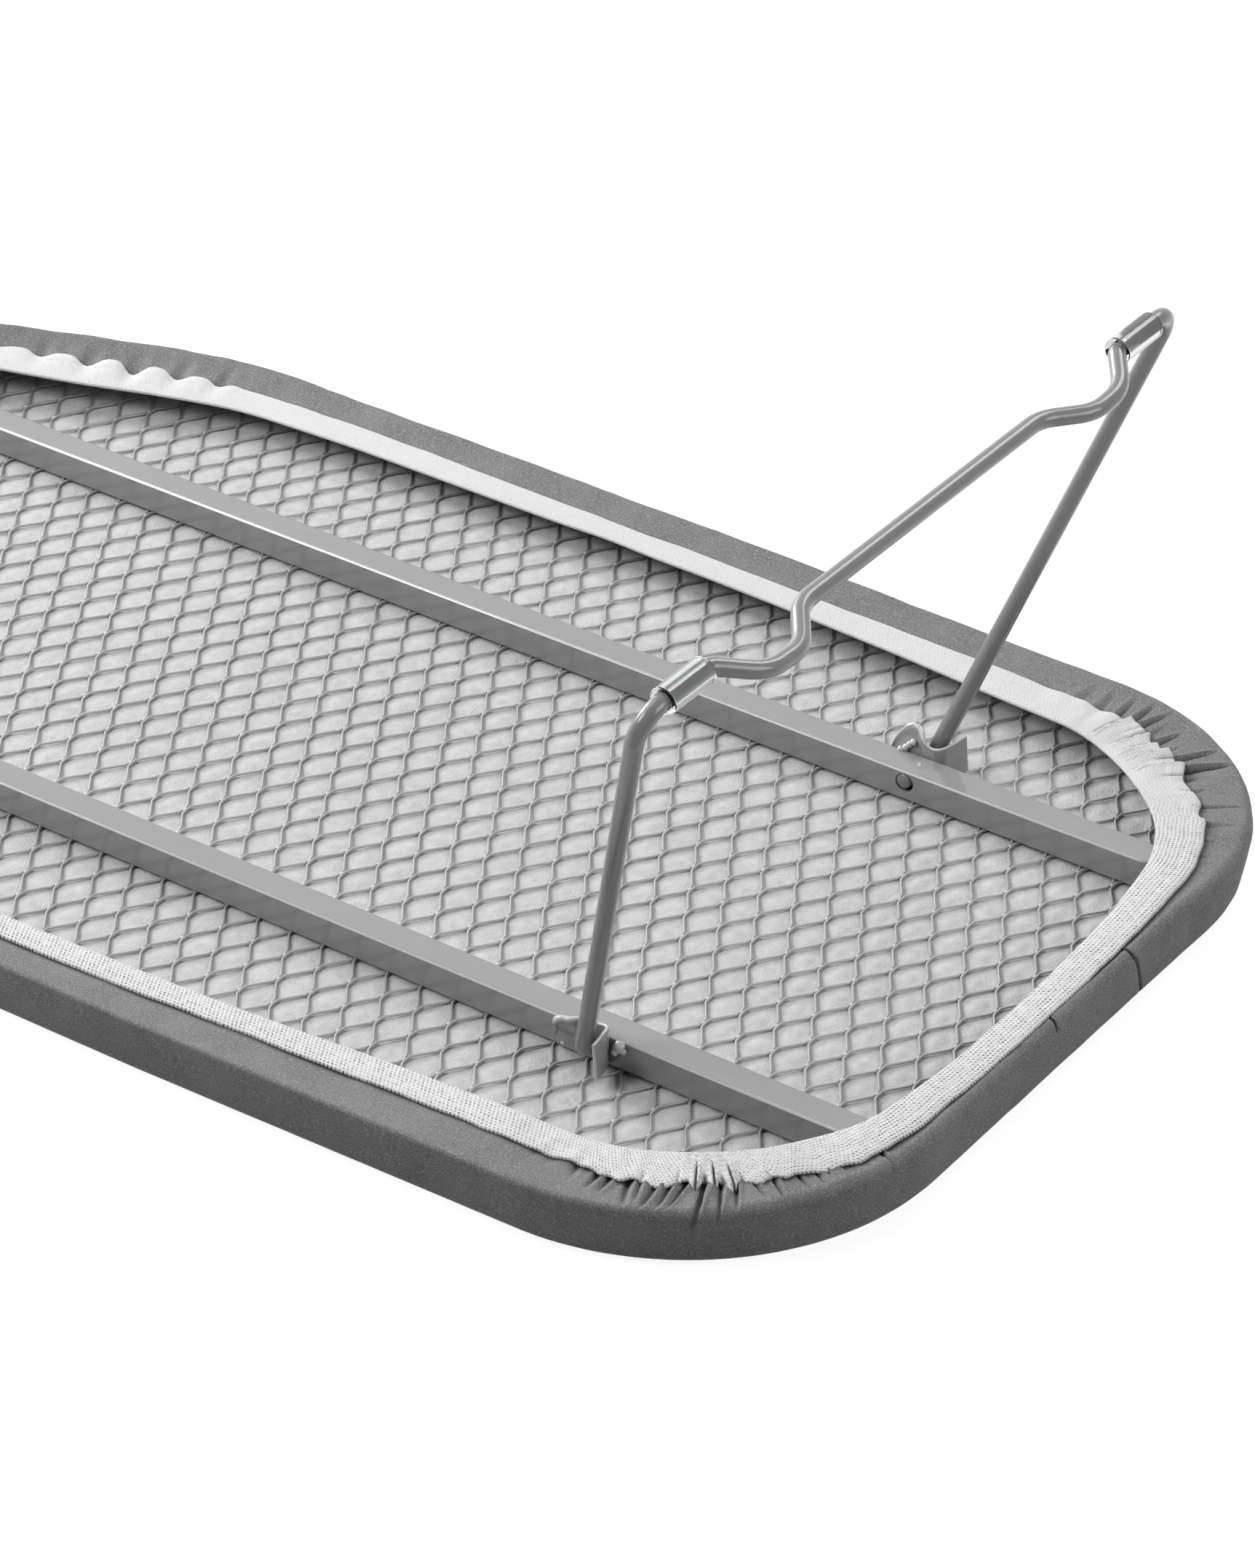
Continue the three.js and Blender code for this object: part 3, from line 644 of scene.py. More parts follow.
def bandLift(s, v):
    # height added to the band's flat line at s and at share v from the outer to the inner edge
    b, at, toOuter, turn = band, s / mm, 1 - v, s / (2 * halfLength)
    lift = b["arch"] * np.sin(math.pi * v) + gathers["puffs"]["lift"] * puffWave(s) * toOuter ** 1.2
    for place, run, height, _ in gathers["pleats"]:
        lift = lift + height * pleatShape(at - b["pleatLean"] * v, place,
                                          run) * (1 - easeBetween(0.55, 0.95, v))
    for place, width, _ in gathers["loops"]:
        back = bell(at - b["loopLean"] * v, place, width * 0.7) * (1 - easeBetween(0.15, 0.75, v))
        lift = lift + b["loopLift"] * back - b["loopDip"] * bell(at, place,
                                                                 width) * (1 - easeBetween(0.0, 0.12, v))
    ripple = valueNoise(turn, v, 262, 0.9, 61) + 0.5 * valueNoise(turn, v, 480, 0.7, 62)
    return (lift - creaseDepth(s, v) + ripple * toOuter ** 0.8 * (0.1 + 0.5 * cornerShare(s))) * mm


def makeElasticBand():
    # a strip's section carried round the loop: the top from outer to inner edge, then back under it
    b, s = band, fineLoop
    top, under = np.linspace(0.03, 0.975, 19), np.linspace(0.96, 0.04, 6)
    v = np.r_[0.0, b["roundShare"], top, 0.994, 1.0, 0.994, under, b["roundShare"]][:, None]
    depth = np.r_[0.5, 0.15, np.zeros(len(top)), 0.12, 0.5, 0.88, np.ones(len(under)), 0.85][:, None]
    outer, inner, outerHeight, innerHeight = bandCurves(s)
    outer = outer - outerShift(s)
    hem = window(v, 0.0, 0.05, b["hemShare"] - 0.05, b["hemShare"])
    rise = b["hemRise"] * hem - b["grooveDepth"] * bell(v, b["hemShare"] + 0.01, 0.02)
    height = outerHeight + (innerHeight - outerHeight) * v + bandLift(s, v)
    height = height + rise * (1 - depth) - b["thickness"] * depth
    # the crease mask paints shade into the creases on the band's top
    masks = {"stretched": np.interp(s / mm, *b["stretch"]) + 0 * v,
             "folded": easeBetween(0.15, 0.9, creaseDepth(s, v)) * (depth < 0.3)}
    return gridPiece("elastic_band_knit", ringsAt(s, outer + (inner - outer) * v, height), elasticKnit,
                     "elastic_knit", True, True, loopMap(s, np.r_[v, v[:1]] * (inner - outer)),
                     masks=masks, replaces=["elastic_band"])


elasticPiece = makeElasticBand()
print("elastic made")


# Cover

def underBand(outerHeight):  # height of the cover's skin under the elastic
    return outerHeight - band["thickness"] - band["coverGap"]

cover = {
    "thickness": 0.8 * mm, "lowerRadius": 4.2 * mm, "sideBulge": 0.15 * mm, "underBand": 3.2 * mm,
    "flatRun": 100 * mm, "hold": 4 * mm,
    # how far the padded far corner stands out past the board's outline
    "cornerSwell": ([60, 75, 90, 105, 120, 135, 150, 165, 178, 190, 205],
                    [0, 1.1, 2.7, 3.3, 3.2, 3.0, 2.3, 1.8, 1.0, 0.3, 0]),
    "farRise": ([180, 300, 486, 560, 613, 892], [0, 0.4, 0.4, 0.6, 1.0, 0]),
    "creaseHeight": ([0, 60, 100, 160, 210, 320, 486, 560, 613, 892],
                     [17.7, 17.7, 17.6, 17.3, 17.1, 17, 17.1, 18.2, 18.5, 18.2]),
    "creaseRadius": ([0, 60, 100, 135, 160, 210, 320, 486, 560, 613, 892],
                     [3.4, 3.4, 3.4, 2.6, 1.7, 1.3, 1.2, 1.3, 1.8, 2.6, 3]),
    "rows": {"flat": 8, "lower": 7, "side": 9, "upper": 8, "wrap": 14, "hem": 3},
}
# folds that run out from the elastic, in mm: place at the elastic, at the far end, reach, depth, half width
coverFolds = [
    (-138.7, -142.6, 15, 1.7, 1.25), (-133.6, -136.2, 13, 1.3, 1.0), (-149.2, -152, 9, 1.1, 1.2),
    (-144.3, -148.6, 9, 1.1, 0.9),
    (-162.2, -161.2, 11, 1.1, 1.3), (-158.3, -158.6, 8, 0.9, 1.0), (-153.5, -156.2, 10, 1.1, 1.1),
    (-172.4, -173, 7, 0.8, 1.2),
    (-168.4, -169, 7, 0.9, 1.1), (-129.4, -131, 8, 1.0, 0.9), (-123.8, -122.3, 6, 0.8, 0.8),
    (-117.6, -118, 10, 1.0, 0.7),
    (-110.2, -110, 6, 0.8, 0.6), (-104.8, -105.2, 5, 0.7, 0.6), (-102.2, -102.6, 4, 0.6, 0.5),
    (-97, -97, 4, 0.4, 0.6), (-84.3, -85.3, 7, 1.0, 0.5), (-180, -179, 5, 0.5, 1.5), (-190, -189, 4, 0.3, 2),
    (193, 191.5, 8, 0.4, 2.0), (184, 185, 8, 0.5, 1.7), (176.4, 178.2, 9, 0.8, 1.2),
    (170.4, 172, 10, 0.9, 1.1),
    (166.6, 166, 10, 0.9, 1.0), (160.5, 161.5, 6, 0.5, 1.2), (155.2, 155.5, 8, 1.1, 1.0),
    (148.6, 149.5, 5, 0.6, 0.9),
    (142.8, 142.3, 11, 1.1, 1.0), (136.1, 134.5, 13, 1.5, 1.1), (131.4, 130.7, 4, 0.7, 0.7),
    (122.2, 123.4, 4, 0.5, 0.9), (113.5, 113.5, 12, 0.8, 0.5), (102.5, 103.3, 8, 0.4, 0.8),
    (93.5, 94, 4, 0.5, 0.6), (84.3, 85, 3, 0.5, 0.5),
]


def foldDepth(s, w):
    # each fold is a valley that narrows away from the elastic, w metres off it, with a low ridge beside it
    at, away = s / mm, w / mm
    depth = np.zeros(np.broadcast(at, away).shape)
    for start, end, reach, deep, width in coverFolds:
        share = np.clip(away / (reach * 1.25), 0, 1)
        middle = start + (end - start) * share * 1.25
        taper = (1 - share) ** 0.55
        wide = width * (0.4 + 0.45 * taper)
        depth = depth - 1.15 * deep * taper * bell(at, middle, wide)
        depth = depth + 0.75 * deep * taper * bell(at, middle + 2.1 * wide, wide * 1.1)
    return depth


def coverWrinkles(s, w):
    # folds, small gathers that lean with w, and the cloth's slight unevenness, in metres
    turn, away = s / (2 * halfLength), w / mm

    def fading(reach):
        return np.exp(-np.clip(away, 0, None) / reach)

    small = valueNoise(turn, w, 230, 22 * mm, 71) + 0.6 * valueNoise(turn + 0.0006 * away / 10, w, 420,
                                                                     14 * mm, 72)
    tiny = 0.35 * valueNoise(turn, w, 800, 16 * mm, 75) * fading(4.0)
    uneven = 0.16 * valueNoise(turn, w, 150, 12 * mm, 73) + 0.1 * valueNoise(turn, w, 330, 6 * mm, 74)
    wrapRun = bandCurves(s)[0] / mm
    nearBand = window(away, -3, 1, wrapRun - 4, wrapRun + 1.5)
    puffs = -2.4 * easeBetween(0, 0.9, -puffWave(s)) * fading(9)
    puffs = puffs * (0.8 - 0.65 * easeBetween(wrapRun - 8, wrapRun - 1, away))
    gathered = (small * fading(6.5) * 0.55 + tiny) * cornerShare(s)
    return (foldDepth(s, w) * nearBand + gathered + uneven + puffs) * mm


# seams of the cloth at the square end: heights, places along the edge, depth and half width, all in mm
coverSeams = [
    ([0, 4.6, 8, 13, 16.6, 17.3, 18], [36.6, 35.8, 34.9, 33.3, 31.6, 31.9, 31.9], 1.2, 0.42, -1),
    ([15, 16.2, 17.2, 18], [-8.3, -7.9, -7.4, -7.1], 1.1, 0.4, 14.4),
]


def seamDepth(s, heights):
    # a narrow groove along each seam, which may end at its lowest height
    depth = np.zeros(heights.shape)
    for levels, places, deep, width, lowest in coverSeams:
        middle = np.interp(heights / mm, levels, places)
        depth = depth - deep * bell(s / mm, middle, width) * easeBetween(lowest, lowest + 1.2, heights / mm)
    return depth * mm


def coverProfile(s):
    # the outer skin's rows from the spine under the board, round the edge and in to the hem: insets, heights
    c, rows = cover, cover["rows"]
    crease = (np.interp(np.abs(s) / mm, *c["creaseHeight"]) + np.interp(s / mm, *c["farRise"])) * mm
    radius = np.interp(np.abs(s) / mm, *c["creaseRadius"]) * mm
    outer, _, outerHeight, innerHeight = bandCurves(s)
    outer = outer - outerShift(s) * 0.75
    lower, upper = (np.linspace(0, math.pi / 2, rows[key])[:, None] for key in ("lower", "upper"))
    side = np.linspace(0, 1, rows["side"] + 2)[1:-1, None]
    wrap, hem = (np.linspace(0, 1, rows[key] + 1)[1:, None] for key in ("wrap", "hem"))
    underside = underBand(outerHeight)
    slope = (innerHeight - outerHeight) * 0.3
    swell = np.interp(s / mm, *c["cornerSwell"]) * mm
    insets = [c["lowerRadius"] * (1 - np.sin(lower)) - 0.5 * swell,
              -c["sideBulge"] * np.sin(math.pi * side) - swell * (0.5 + 0.5 * side),
              radius * (1 - np.cos(upper)) - swell, radius - swell + (outer - radius + swell) * wrap,
              outer + c["underBand"] * hem]
    heights = [c["lowerRadius"] * (1 - np.cos(lower)) + 0 * s,
               c["lowerRadius"] + (crease - radius - c["lowerRadius"]) * side,
               crease - radius * (1 - np.sin(upper)), crease + (underside - crease) * wrap ** 0.9,
               underside + slope * hem]
    return np.vstack(insets), np.vstack(heights)


def spineRows(s, inset, height, shares):
    # rows between a ring on the board and the board's middle line; a share of 0 lies on that line
    point, normal = edgeAt(s)
    ring = point - normal * inset
    low, high = noseTipX + boardEdge["noseRadius"], squareEndX - boardEdge["cornerRadius"]
    spine = np.stack([np.clip(point[:, 0], low, high), np.zeros(len(s))], -1)
    shares = np.asarray(shares)[:, None, None]
    grid = np.empty((len(shares), len(s), 3))
    grid[..., :2] = spine + (ring - spine) * shares
    grid[..., 2] = height
    return grid


def makeCover():
    # outer skin from the spine to the hem, then the inner skin one thickness behind it
    s, c = fineLoop, cover
    insets, heights = coverProfile(s)
    skin = ringsAt(s, insets, heights)
    run = np.r_[np.zeros((1, len(s))), np.cumsum(np.linalg.norm(np.diff(skin, axis=0), axis=2), axis=0)]
    away = run[len(skin) - c["rows"]["hem"] - 1] - run
    facing = np.cross(np.roll(skin, -1, 1) - np.roll(skin, 1, 1), np.gradient(skin, axis=0))
    facing /= np.linalg.norm(facing, axis=2, keepdims=True)
    hold = easeBetween(0.0, c["hold"], heights) * easeBetween(0, 3, np.arange(len(insets)))[:, None]
    seams = seamDepth(s, heights)
    # painted shade: darkest in the fold valleys, a shadow line just under the elastic's edge, and the seam
    # grooves
    valleys = 0.7 * easeBetween(0.12, 0.8, -foldDepth(s, away)) + 0.45 * (1 - easeBetween(0.2, 1.6,
                                                                                          away / mm))
    folded = np.clip(valleys * hold + easeBetween(0.1, 0.5, -seams / mm), 0, 1)
    outerSkin = skin + facing * (coverWrinkles(s, away) * hold + seams)[..., None]
    innerSkin = outerSkin - facing * c["thickness"]
    shares = np.r_[np.linspace(0, 0.9, c["rows"]["flat"] - 2), 0.96, 0.985]
    outerFlat = spineRows(s, insets[0][:, None], 0.0, shares)
    innerFlat = spineRows(s, insets[0][:, None], c["thickness"], shares[::2])
    flatRun = run[0] - (1 - shares)[:, None] * c["flatRun"]
    grid = np.concatenate([outerFlat, outerSkin, innerSkin[::-2], innerFlat[::-1]])
    mapRows = np.concatenate([flatRun, run, run[::-2], flatRun[::2][::-1]])
    creaseShadeAll = np.concatenate([0 * outerFlat[..., 0], folded, folded[::-2], 0 * innerFlat[..., 0]])
    return gridPiece("cover_cloth", grid, coverCloth, "cover_cloth", False, True, loopMap(s, mapRows),
                     weld=True, masks={"folded": creaseShadeAll}, replaces=["cover"])


coverPiece = makeCover()
print("cover made:", len(coverPiece.data.polygons), "faces")


# Expanded-metal panel and the felt that shows through it

panel = {
    "pitch": 5.535 * mm, "halfPeriod": 10 * mm, "originX": 263.5 * mm, "originY": -0.4 * mm,
    "strandWidth": 0.85 * mm, "strandHeight": 0.75 * mm, "middle": 7.0 * mm, "tilt": 0.1 * mm,
    "inset": 3.2 * mm, "endGap": 1.5 * mm, "turns": 17,
    # a strand's run from one joint to the next: shares of the way along, and of the swing across
    "stops": [0, 0.12, 0.19, 0.81, 0.88], "swings": [1, 0.995, 0.93, -0.93, -0.995],
    # a strand's section, in shares of its width and height
    "section": [(-0.5, -0.1), (-0.3, 0.5), (0.3, 0.5), (0.5, -0.1), (0.0, -0.5)],
}


def halfWidthAt(x, inset):
    # half of the board's width at x, less an inset measured along the outline's normal
    line = np.stack([edgeX - normalX / normalSize * inset, edgeY - normalY / normalSize * inset])
    order = np.argsort(line[0])
    return np.interp(x, line[0][order], line[1][order], left=0, right=0)


def makeMeshPanel():
    # each strand runs across the board as a rounded zigzag and touches its neighbours at each joint
    p = panel
    firstIndex = int((noseTipX - p["originX"]) / p["pitch"]) + 1
    lastIndex = int((squareEndX - p["originX"]) / p["pitch"]) - 1
    swing = (p["pitch"] - p["strandWidth"]) / 2
    aside, up = np.array(p["section"]).T * [[p["strandWidth"]], [p["strandHeight"]]]
    turns, ends = np.arange(-p["turns"], p["turns"])[:, None], np.arange(len(aside))
    stops = (turns + np.array(p["stops"])).ravel() * p["halfPeriod"] + p["originY"]
    allPoints, allFaces, caps, offset = [], [], [], 0
    for index in range(firstIndex, lastIndex):
        middleX = p["originX"] + (index + 0.5) * p["pitch"]
        reach = float(halfWidthAt(middleX, p["inset"])) - p["endGap"]
        if reach < p["halfPeriod"]:
            continue
        inside = np.abs(stops) < reach
        swings = (np.where((turns + index) % 2 == 0, -1, 1) * np.array(p["swings"])).ravel()
        y, x = stops[inside], middleX + swing * swings[inside]
        slope = np.gradient(x, y)
        sideways = np.stack([np.ones(len(y)), -slope], -1) / np.hypot(1, slope)[:, None]
        level = p["middle"] + p["tilt"] * np.sin(2 * math.pi * (y - p["originY"]) / p["halfPeriod"])
        ring = np.empty((len(y), len(ends), 3))
        ring[..., :2] = np.stack([x, y], -1)[:, None] + sideways[:, None] * aside[:, None]
        ring[..., 2] = level[:, None] + up
        size = ring[..., 0].size
        allPoints.append(ring.reshape(-1, 3))
        allFaces.append(gridFaces(len(y), len(ends), False, True)[0] + offset)
        caps += [ends + offset, (ends + offset + size - len(ends))[::-1]]
        offset += size
    points, faces = np.concatenate(allPoints), np.concatenate(allFaces)
    outward = turnedOut(points, faces)
    if outward is faces:
        caps = [cap[::-1] for cap in caps]
    mesh = meshFrom("mesh_panel_strands", points, outward, caps=caps)
    addPiece("mesh_panel_strands", mesh, meshPaint, "grey_paint", replaces=["mesh_panel"])


def unitBall(rings, around, bumps=0.0):
    # a ball's points, whose radius swells and shrinks a little: 1 + bumps sin 3a sin 2b
    polar = np.linspace(0, math.pi, rings)[:, None]
    turn = np.linspace(0, 2 * math.pi, around, endpoint=False)[None, :]
    ball = [np.sin(polar) * np.cos(turn), np.sin(polar) * np.sin(turn), np.cos(polar) + 0 * turn]
    return np.stack(ball, -1) * (1 + bumps * np.sin(3 * turn) * np.sin(2 * polar))[..., None]


def ballsPiece(name, ball, centres, sizes, material):
    # copies of one small ball, each at its centre and with its size
    quads = turnedOut(ball.reshape(-1, 3), gridFaces(*ball.shape[:2], False, True)[0])
    points = (centres[:, None] + ball.reshape(1, -1, 3) * sizes[:, None, None]).reshape(-1, 3)
    faces = (np.arange(len(centres))[:, None, None] * ball[..., 0].size + quads).reshape(-1, 4)
    mesh = meshFrom(name, points, faces)
    weldSeams(mesh)
    addPiece(name, mesh, material, "grey_paint")


# a joint's drop of paint: half its length along, across and up
joints = {"size": (0.55 * mm, 0.95 * mm, 0.42 * mm), "top": 7.52 * mm, "around": 6, "rings": 5,
          "endGap": 4 * mm}


def makeMeshJoints():
    # a drop of paint on every second crossing of the joints' rows and columns
    p, q = panel, joints
    columns = np.arange(int((noseTipX - p["originX"]) / p["pitch"]),
                        int((squareEndX - p["originX"]) / p["pitch"]) + 1)
    rows = np.arange(int(-halfBoard / p["halfPeriod"]) - 1, int(halfBoard / p["halfPeriod"]) + 2)
    i, k = np.meshgrid(columns, rows, indexing="ij")
    i, k = i[(i + k) % 2 == 0], k[(i + k) % 2 == 0]
    x, y = p["originX"] + i * p["pitch"], p["originY"] + k * p["halfPeriod"]
    inside = np.abs(y) < halfWidthAt(x, p["inset"] + q["endGap"])
    x, y = x[inside], y[inside]
    places = np.stack([x, y, np.full(len(x), q["top"] - q["size"][2])], -1)
    ball = unitBall(q["rings"], q["around"]) * q["size"]
    # the drops are painted lighter than the strands, a painted highlight
    ballsPiece("mesh_panel_joints", ball, places, np.ones(len(x)), brightDrops)


makeMeshPanel()
makeMeshJoints()
print("panel made")

pad = {"top": 6.4 * mm, "bottom": 1.15 * mm, "inset": 1.4 * mm, "pillow": 0.38 * mm, "rows": 66,
       "edge": 3 * mm}


def padPillows(x, y):
    # the felt swells up into each diamond: (1 - cos a cos b) / 2, 0 on the joints and 1 in the middle
    p = panel
    a, b = math.pi * (x - p["originX"]) / p["pitch"], math.pi * (y - p["originY"]) / p["halfPeriod"]
    return easeBetween(0.5, 1.0, (1 - np.cos(a) * np.cos(b)) / 2)


def makeFeltPad():
    # rows from the spine out over the top, round the side and back under to the spine
    s = plainLoop
    shares = np.linspace(0, 1, pad["rows"])
    top = spineRows(s, pad["inset"] + pad["edge"], pad["top"], shares)
    x, y = top[..., 0], top[..., 1]
    soft = 0.12 * mm * valueNoise(x / 2 + 0.5, y, 120, 9 * mm, 81)
    border = easeBetween(1.0, 0.93, shares)[:, None]
    top[..., 2] += (pad["pillow"] * padPillows(x, y) + soft) * border
    sides = []
    for turn in np.linspace(0, math.pi, 7)[1:-1]:
        inset = pad["inset"] + pad["edge"] * (1 - math.sin(turn))
        height = (pad["top"] + pad["bottom"]) / 2 + (pad["top"] - pad["bottom"]) / 2 * math.cos(turn)
        sides.append(spineRows(s, inset, height, [1.0]))
    under = spineRows(s, pad["inset"] + pad["edge"], pad["bottom"], [1.0, 0.6, 0.0])
    grid = np.concatenate([top, *sides, under])
    return gridPiece("felt_pad_soft", grid, felt, "felt", False, True, weld=True, replaces=["felt_pad"])


feltPiece = makeFeltPad()
print("felt made:", len(feltPiece.data.polygons), "faces")


# Rim channel, under the cover's edge

rim = {
    "wall": 1.0 * mm, "bottom": 7.8 * mm, "gap": 0.25 * mm, "slack": 0.35 * mm, "inset": 1.2 * mm,
    "round": 1.8 * mm, "longReach": 7.2 * mm, "endReach": 10.6 * mm, "cornerDrop": 1.0 * mm,
}


def makeRim():
    # a channel open to the inside: lower flange, web and an upper flange that follows the cover
    s, r, wall, at = plainLoop, rim, rim["wall"], np.abs(plainLoop) / mm
    crease, radius = (np.interp(at, *cover[key]) * mm for key in ("creaseHeight", "creaseRadius"))
    outer, _, outerHeight, _ = bandCurves(s)
    ends = 1 - easeBetween(90, 150, at) + easeBetween(560, 610, at)
    reach = r["longReach"] + (r["endReach"] - r["longReach"]) * ends

    def under(inset):  # height of the flange's top below the cover at an inset
        share = np.clip((inset - radius) / (outer - radius), 0, 1)
        return crease + (underBand(outerHeight) - crease) * share - cover["thickness"] - r["gap"] - r["slack"]

    web, corner, foot = r["inset"], r["inset"] + r["round"], r["bottom"] + wall
    top = under(corner)
    lipTop = np.minimum(under(reach), top) - r["cornerDrop"] * cornerShare(s)
    rows = [(web, r["bottom"]), (web, top - r["round"]), (web + 0.5 * mm, top - 0.5 * mm), (corner, top),
            (reach, lipTop), (reach, lipTop - wall), (corner, top - wall), (web + wall, top - 1.9 * mm),
            (web + wall, foot), (reach, foot), (reach, r["bottom"])]
    insets, heights = (np.stack([row[k] + 0 * s for row in rows]) for k in (0, 1))
    piece = gridPiece("rim_channel", ringsAt(s, insets, heights), greyPaint, "grey_paint", True, True,
                      replaces=["rim_frame"])
    piece.data.polygons.foreach_set("use_smooth", np.zeros(len(piece.data.polygons), bool))


makeRim()
print("rim made")


# Rails keep the imported shapes, with rolled edges

# the rounding's middle turns, from and to, get a painted highlight
roll = {"radius": 0.7 * mm, "steps": 3, "join": 2e-6, "flat": math.radians(0.5), "shine": (0.2, 1.4)}


def rolledCopy(node, name):
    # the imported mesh, points joined, with its two long top edges rounded: cuts beside each edge, then
    # every point there is turned onto the arc, inset r (1 - sin a) and drop r (1 - cos a)
    radius, join = roll["radius"], roll["join"]
    mesh = nodes[node].data.copy()
    mesh.name = name
    packedNormals = mesh.attributes.get("custom_normal")
    if packedNormals is not None:  # they would no longer fit the rounded faces
        mesh.attributes.remove(packedNormals)
    work = bmesh.new()
    work.from_mesh(mesh)
    worn = work.verts.layers.float.new("worn")
    bmesh.ops.remove_doubles(work, verts=work.verts, dist=join)
    bmesh.ops.dissolve_limit(work, angle_limit=roll["flat"], verts=work.verts, edges=work.edges)
    top = max(vert.co.z for vert in work.verts)
    left, right = min(vert.co.y for vert in work.verts), max(vert.co.y for vert in work.verts)
    for offset in radius * np.linspace(0, 1, roll["steps"] + 1)[1:]:
        for point, direction in (((0, 0, top - offset), (0, 0, 1)), ((0, left + offset, 0), (0, 1, 0)),
                                 ((0, right - offset, 0), (0, 1, 0))):
            bmesh.ops.bisect_plane(work, geom=work.verts[:] + work.edges[:] + work.faces[:],
                                   plane_co=point, plane_no=direction)
    turned = set()
    for vert in work.verts:
        drop, onLeft = top - vert.co.z, vert.co.y < (left + right) / 2
        inset = vert.co.y - left if onLeft else right - vert.co.y
        if max(drop, inset) > radius + join or min(drop, inset) > join:
            continue
        turn = math.pi / 4 * min(max(1 + (drop - inset) / radius, 0), 2)
        inset = radius * (1 - math.sin(turn))
        vert.co.y = left + inset if onLeft else right - inset
        vert.co.z = top - radius * (1 - math.cos(turn))
        vert[worn] = float(roll["shine"][0] < turn < roll["shine"][1])  # painted highlight on the middle turns of the rounding
        turned.add(vert)
    for face in work.faces:
        face.smooth = all(vert in turned for vert in face.verts)
    work.to_mesh(mesh)
    work.free()
    mesh.materials.clear()
    addPiece(name, mesh, greyPaint, "grey_paint", replaces=[node])


for place in ("near", "far"):
    rolledCopy(f"rail_{place}", f"rail_{place}_tube")
print("rails made")


# Brackets, each pressed from one sheet: a flared lobe, a notch for the wire and an ear that stands out

pivots = {joint["name"].replace("_leg_fold", ""): np.array(joint["pos_m"])
          for joint in frame["record"]["behaviour"]["joints"]}


def bentPath(corners, radii, steps):
    # straight runs joined by arcs: start + u r sin a + w r (1 - cos a) at each corner
    path = [corners[:1]]
    for index, radius in enumerate(radii, 1):
        into = corners[index] - corners[index - 1]
        out = corners[index + 1] - corners[index]
        into, out = into / np.linalg.norm(into), out / np.linalg.norm(out)
        turn = math.acos(float(np.clip(into @ out, -1, 1)))
        aside = out - into * (into @ out)
        aside /= np.linalg.norm(aside)
        start = corners[index] - into * radius * math.tan(turn / 2)
        a = np.linspace(0, turn, steps)[:, None]
        path.append(start + into * radius * np.sin(a) + aside * radius * (1 - np.cos(a)))
    path.append(corners[-1:])
    return np.vstack(path)


bracket = {
    "railFace": 81.3 * mm, "thickness": 1.0 * mm, "bottom": 8.1 * mm, "reach": -11.0, "corner": 5.9,
    "bend": 2.4, "earEnd": (7.6, 10.7), "earRise": 1.6,
    # top edge, across and up: the lobe, the notch and the ear
    "topAcross": [-11, -10.7, -9.9, -8.5, -6.6, -4.6, -2.6, -1.4, -0.6, 0.1, 1, 2.4, 3.8, 5, 6, 8],
    "topUp": [14.2, 16.8, 19, 21.2, 23.2, 24.4, 24.5, 23.9, 22.8, 21.6, 20.8, 20.4, 20.6, 20.9, 21.2, 21.2],
    "flareFrom": {"near": 13.4, "far": 14.8}, "flare": {"near": 7.4, "far": 5.2},
    "drop": {"near": 2.8, "far": 0.4},
    "aside": {"near": 2.2, "far": 1.4}, "lip": 0.9, "lobeTop": 24.5, "earLean": 0.09, "leanFrom": 21,
    # how much lighter the plate's border is painted: a painted highlight
    "worn": 0.6, "dropBumps": 0.12, "dropRings": 11, "dropAround": 16,
    # weld drops: across, out from the rail, up, radius
    "welds": {"far": [(-3.8, 0.6, 19.9, 0.95), (-4.9, 0.4, 18.8, 0.95), (-5.9, 0.1, 17.7, 1.0),
                      (-7.2, -0.6, 17.0, 0.95), (-6.3, -0.1, 16.4, 0.8), (8.6, 0.6, 12.2, 1.2)],
              "near": [(9.2, 0.9, 15.4, 1.7), (8.4, 1.7, 14.0, 1.1), (10.4, 0.6, 14.2, 1.0),
                       (-9, 0.3, 9, 1.0)]},
}


def sheetPiece(name, middle, thickness, **facts):
    # a thin plate: two skins half a thickness either side of a grid, joined along a rounded border, where
    # the half thickness falls as the square root of 1 - (1 - share) squared; thickness may be a grid
    normal = np.cross(np.gradient(middle, axis=1), np.gradient(middle, axis=0))
    normal /= np.linalg.norm(normal, axis=2, keepdims=True) + 1e-12

    def fromBorder(axis):
        step = np.linalg.norm(np.diff(middle, axis=axis), axis=2)
        pad = [(0, 0), (0, 0)]
        pad[axis] = (1, 0)
        run = np.pad(np.cumsum(step, axis=axis), pad)
        return np.minimum(run, np.take(run, [-1], axis=axis) - run)

    share = np.clip(np.minimum(fromBorder(0), fromBorder(1)) / (thickness * 0.5), 0, 1)
    half = 0.5 * thickness * np.sqrt(1 - (1 - share) ** 2) + 0 * share
    rows, columns = middle.shape[:2]
    points = np.concatenate([(middle + normal * half[..., None]).reshape(-1, 3),
                             (middle - normal * half[..., None]).reshape(-1, 3)])
    quads, _ = gridFaces(rows, columns, False, False)
    faces = np.concatenate([quads, quads[:, ::-1] + rows * columns])
    mesh = meshFrom(name, points, turnedOut(points, faces))
    # painted highlight: the plate's rounded border is painted lighter
    worn = 1 - easeBetween(0.4, 1.0, share + 0 * middle[..., 0])
    setMask(mesh, "worn", bracket["worn"] * np.concatenate([worn, worn]))
    weldSeams(mesh)
    addPiece(name, mesh, greyPaint, "grey_paint", **facts)


def borderSteps(count, edge):
    # shares from 0 to 1 with a few close steps at both ends for a rounded border
    start = np.array([0, 0.15, 0.5, 1.2]) * edge
    return np.r_[start, np.linspace(2.5 * edge, 1 - 2.5 * edge, count), 1 - start[::-1]]


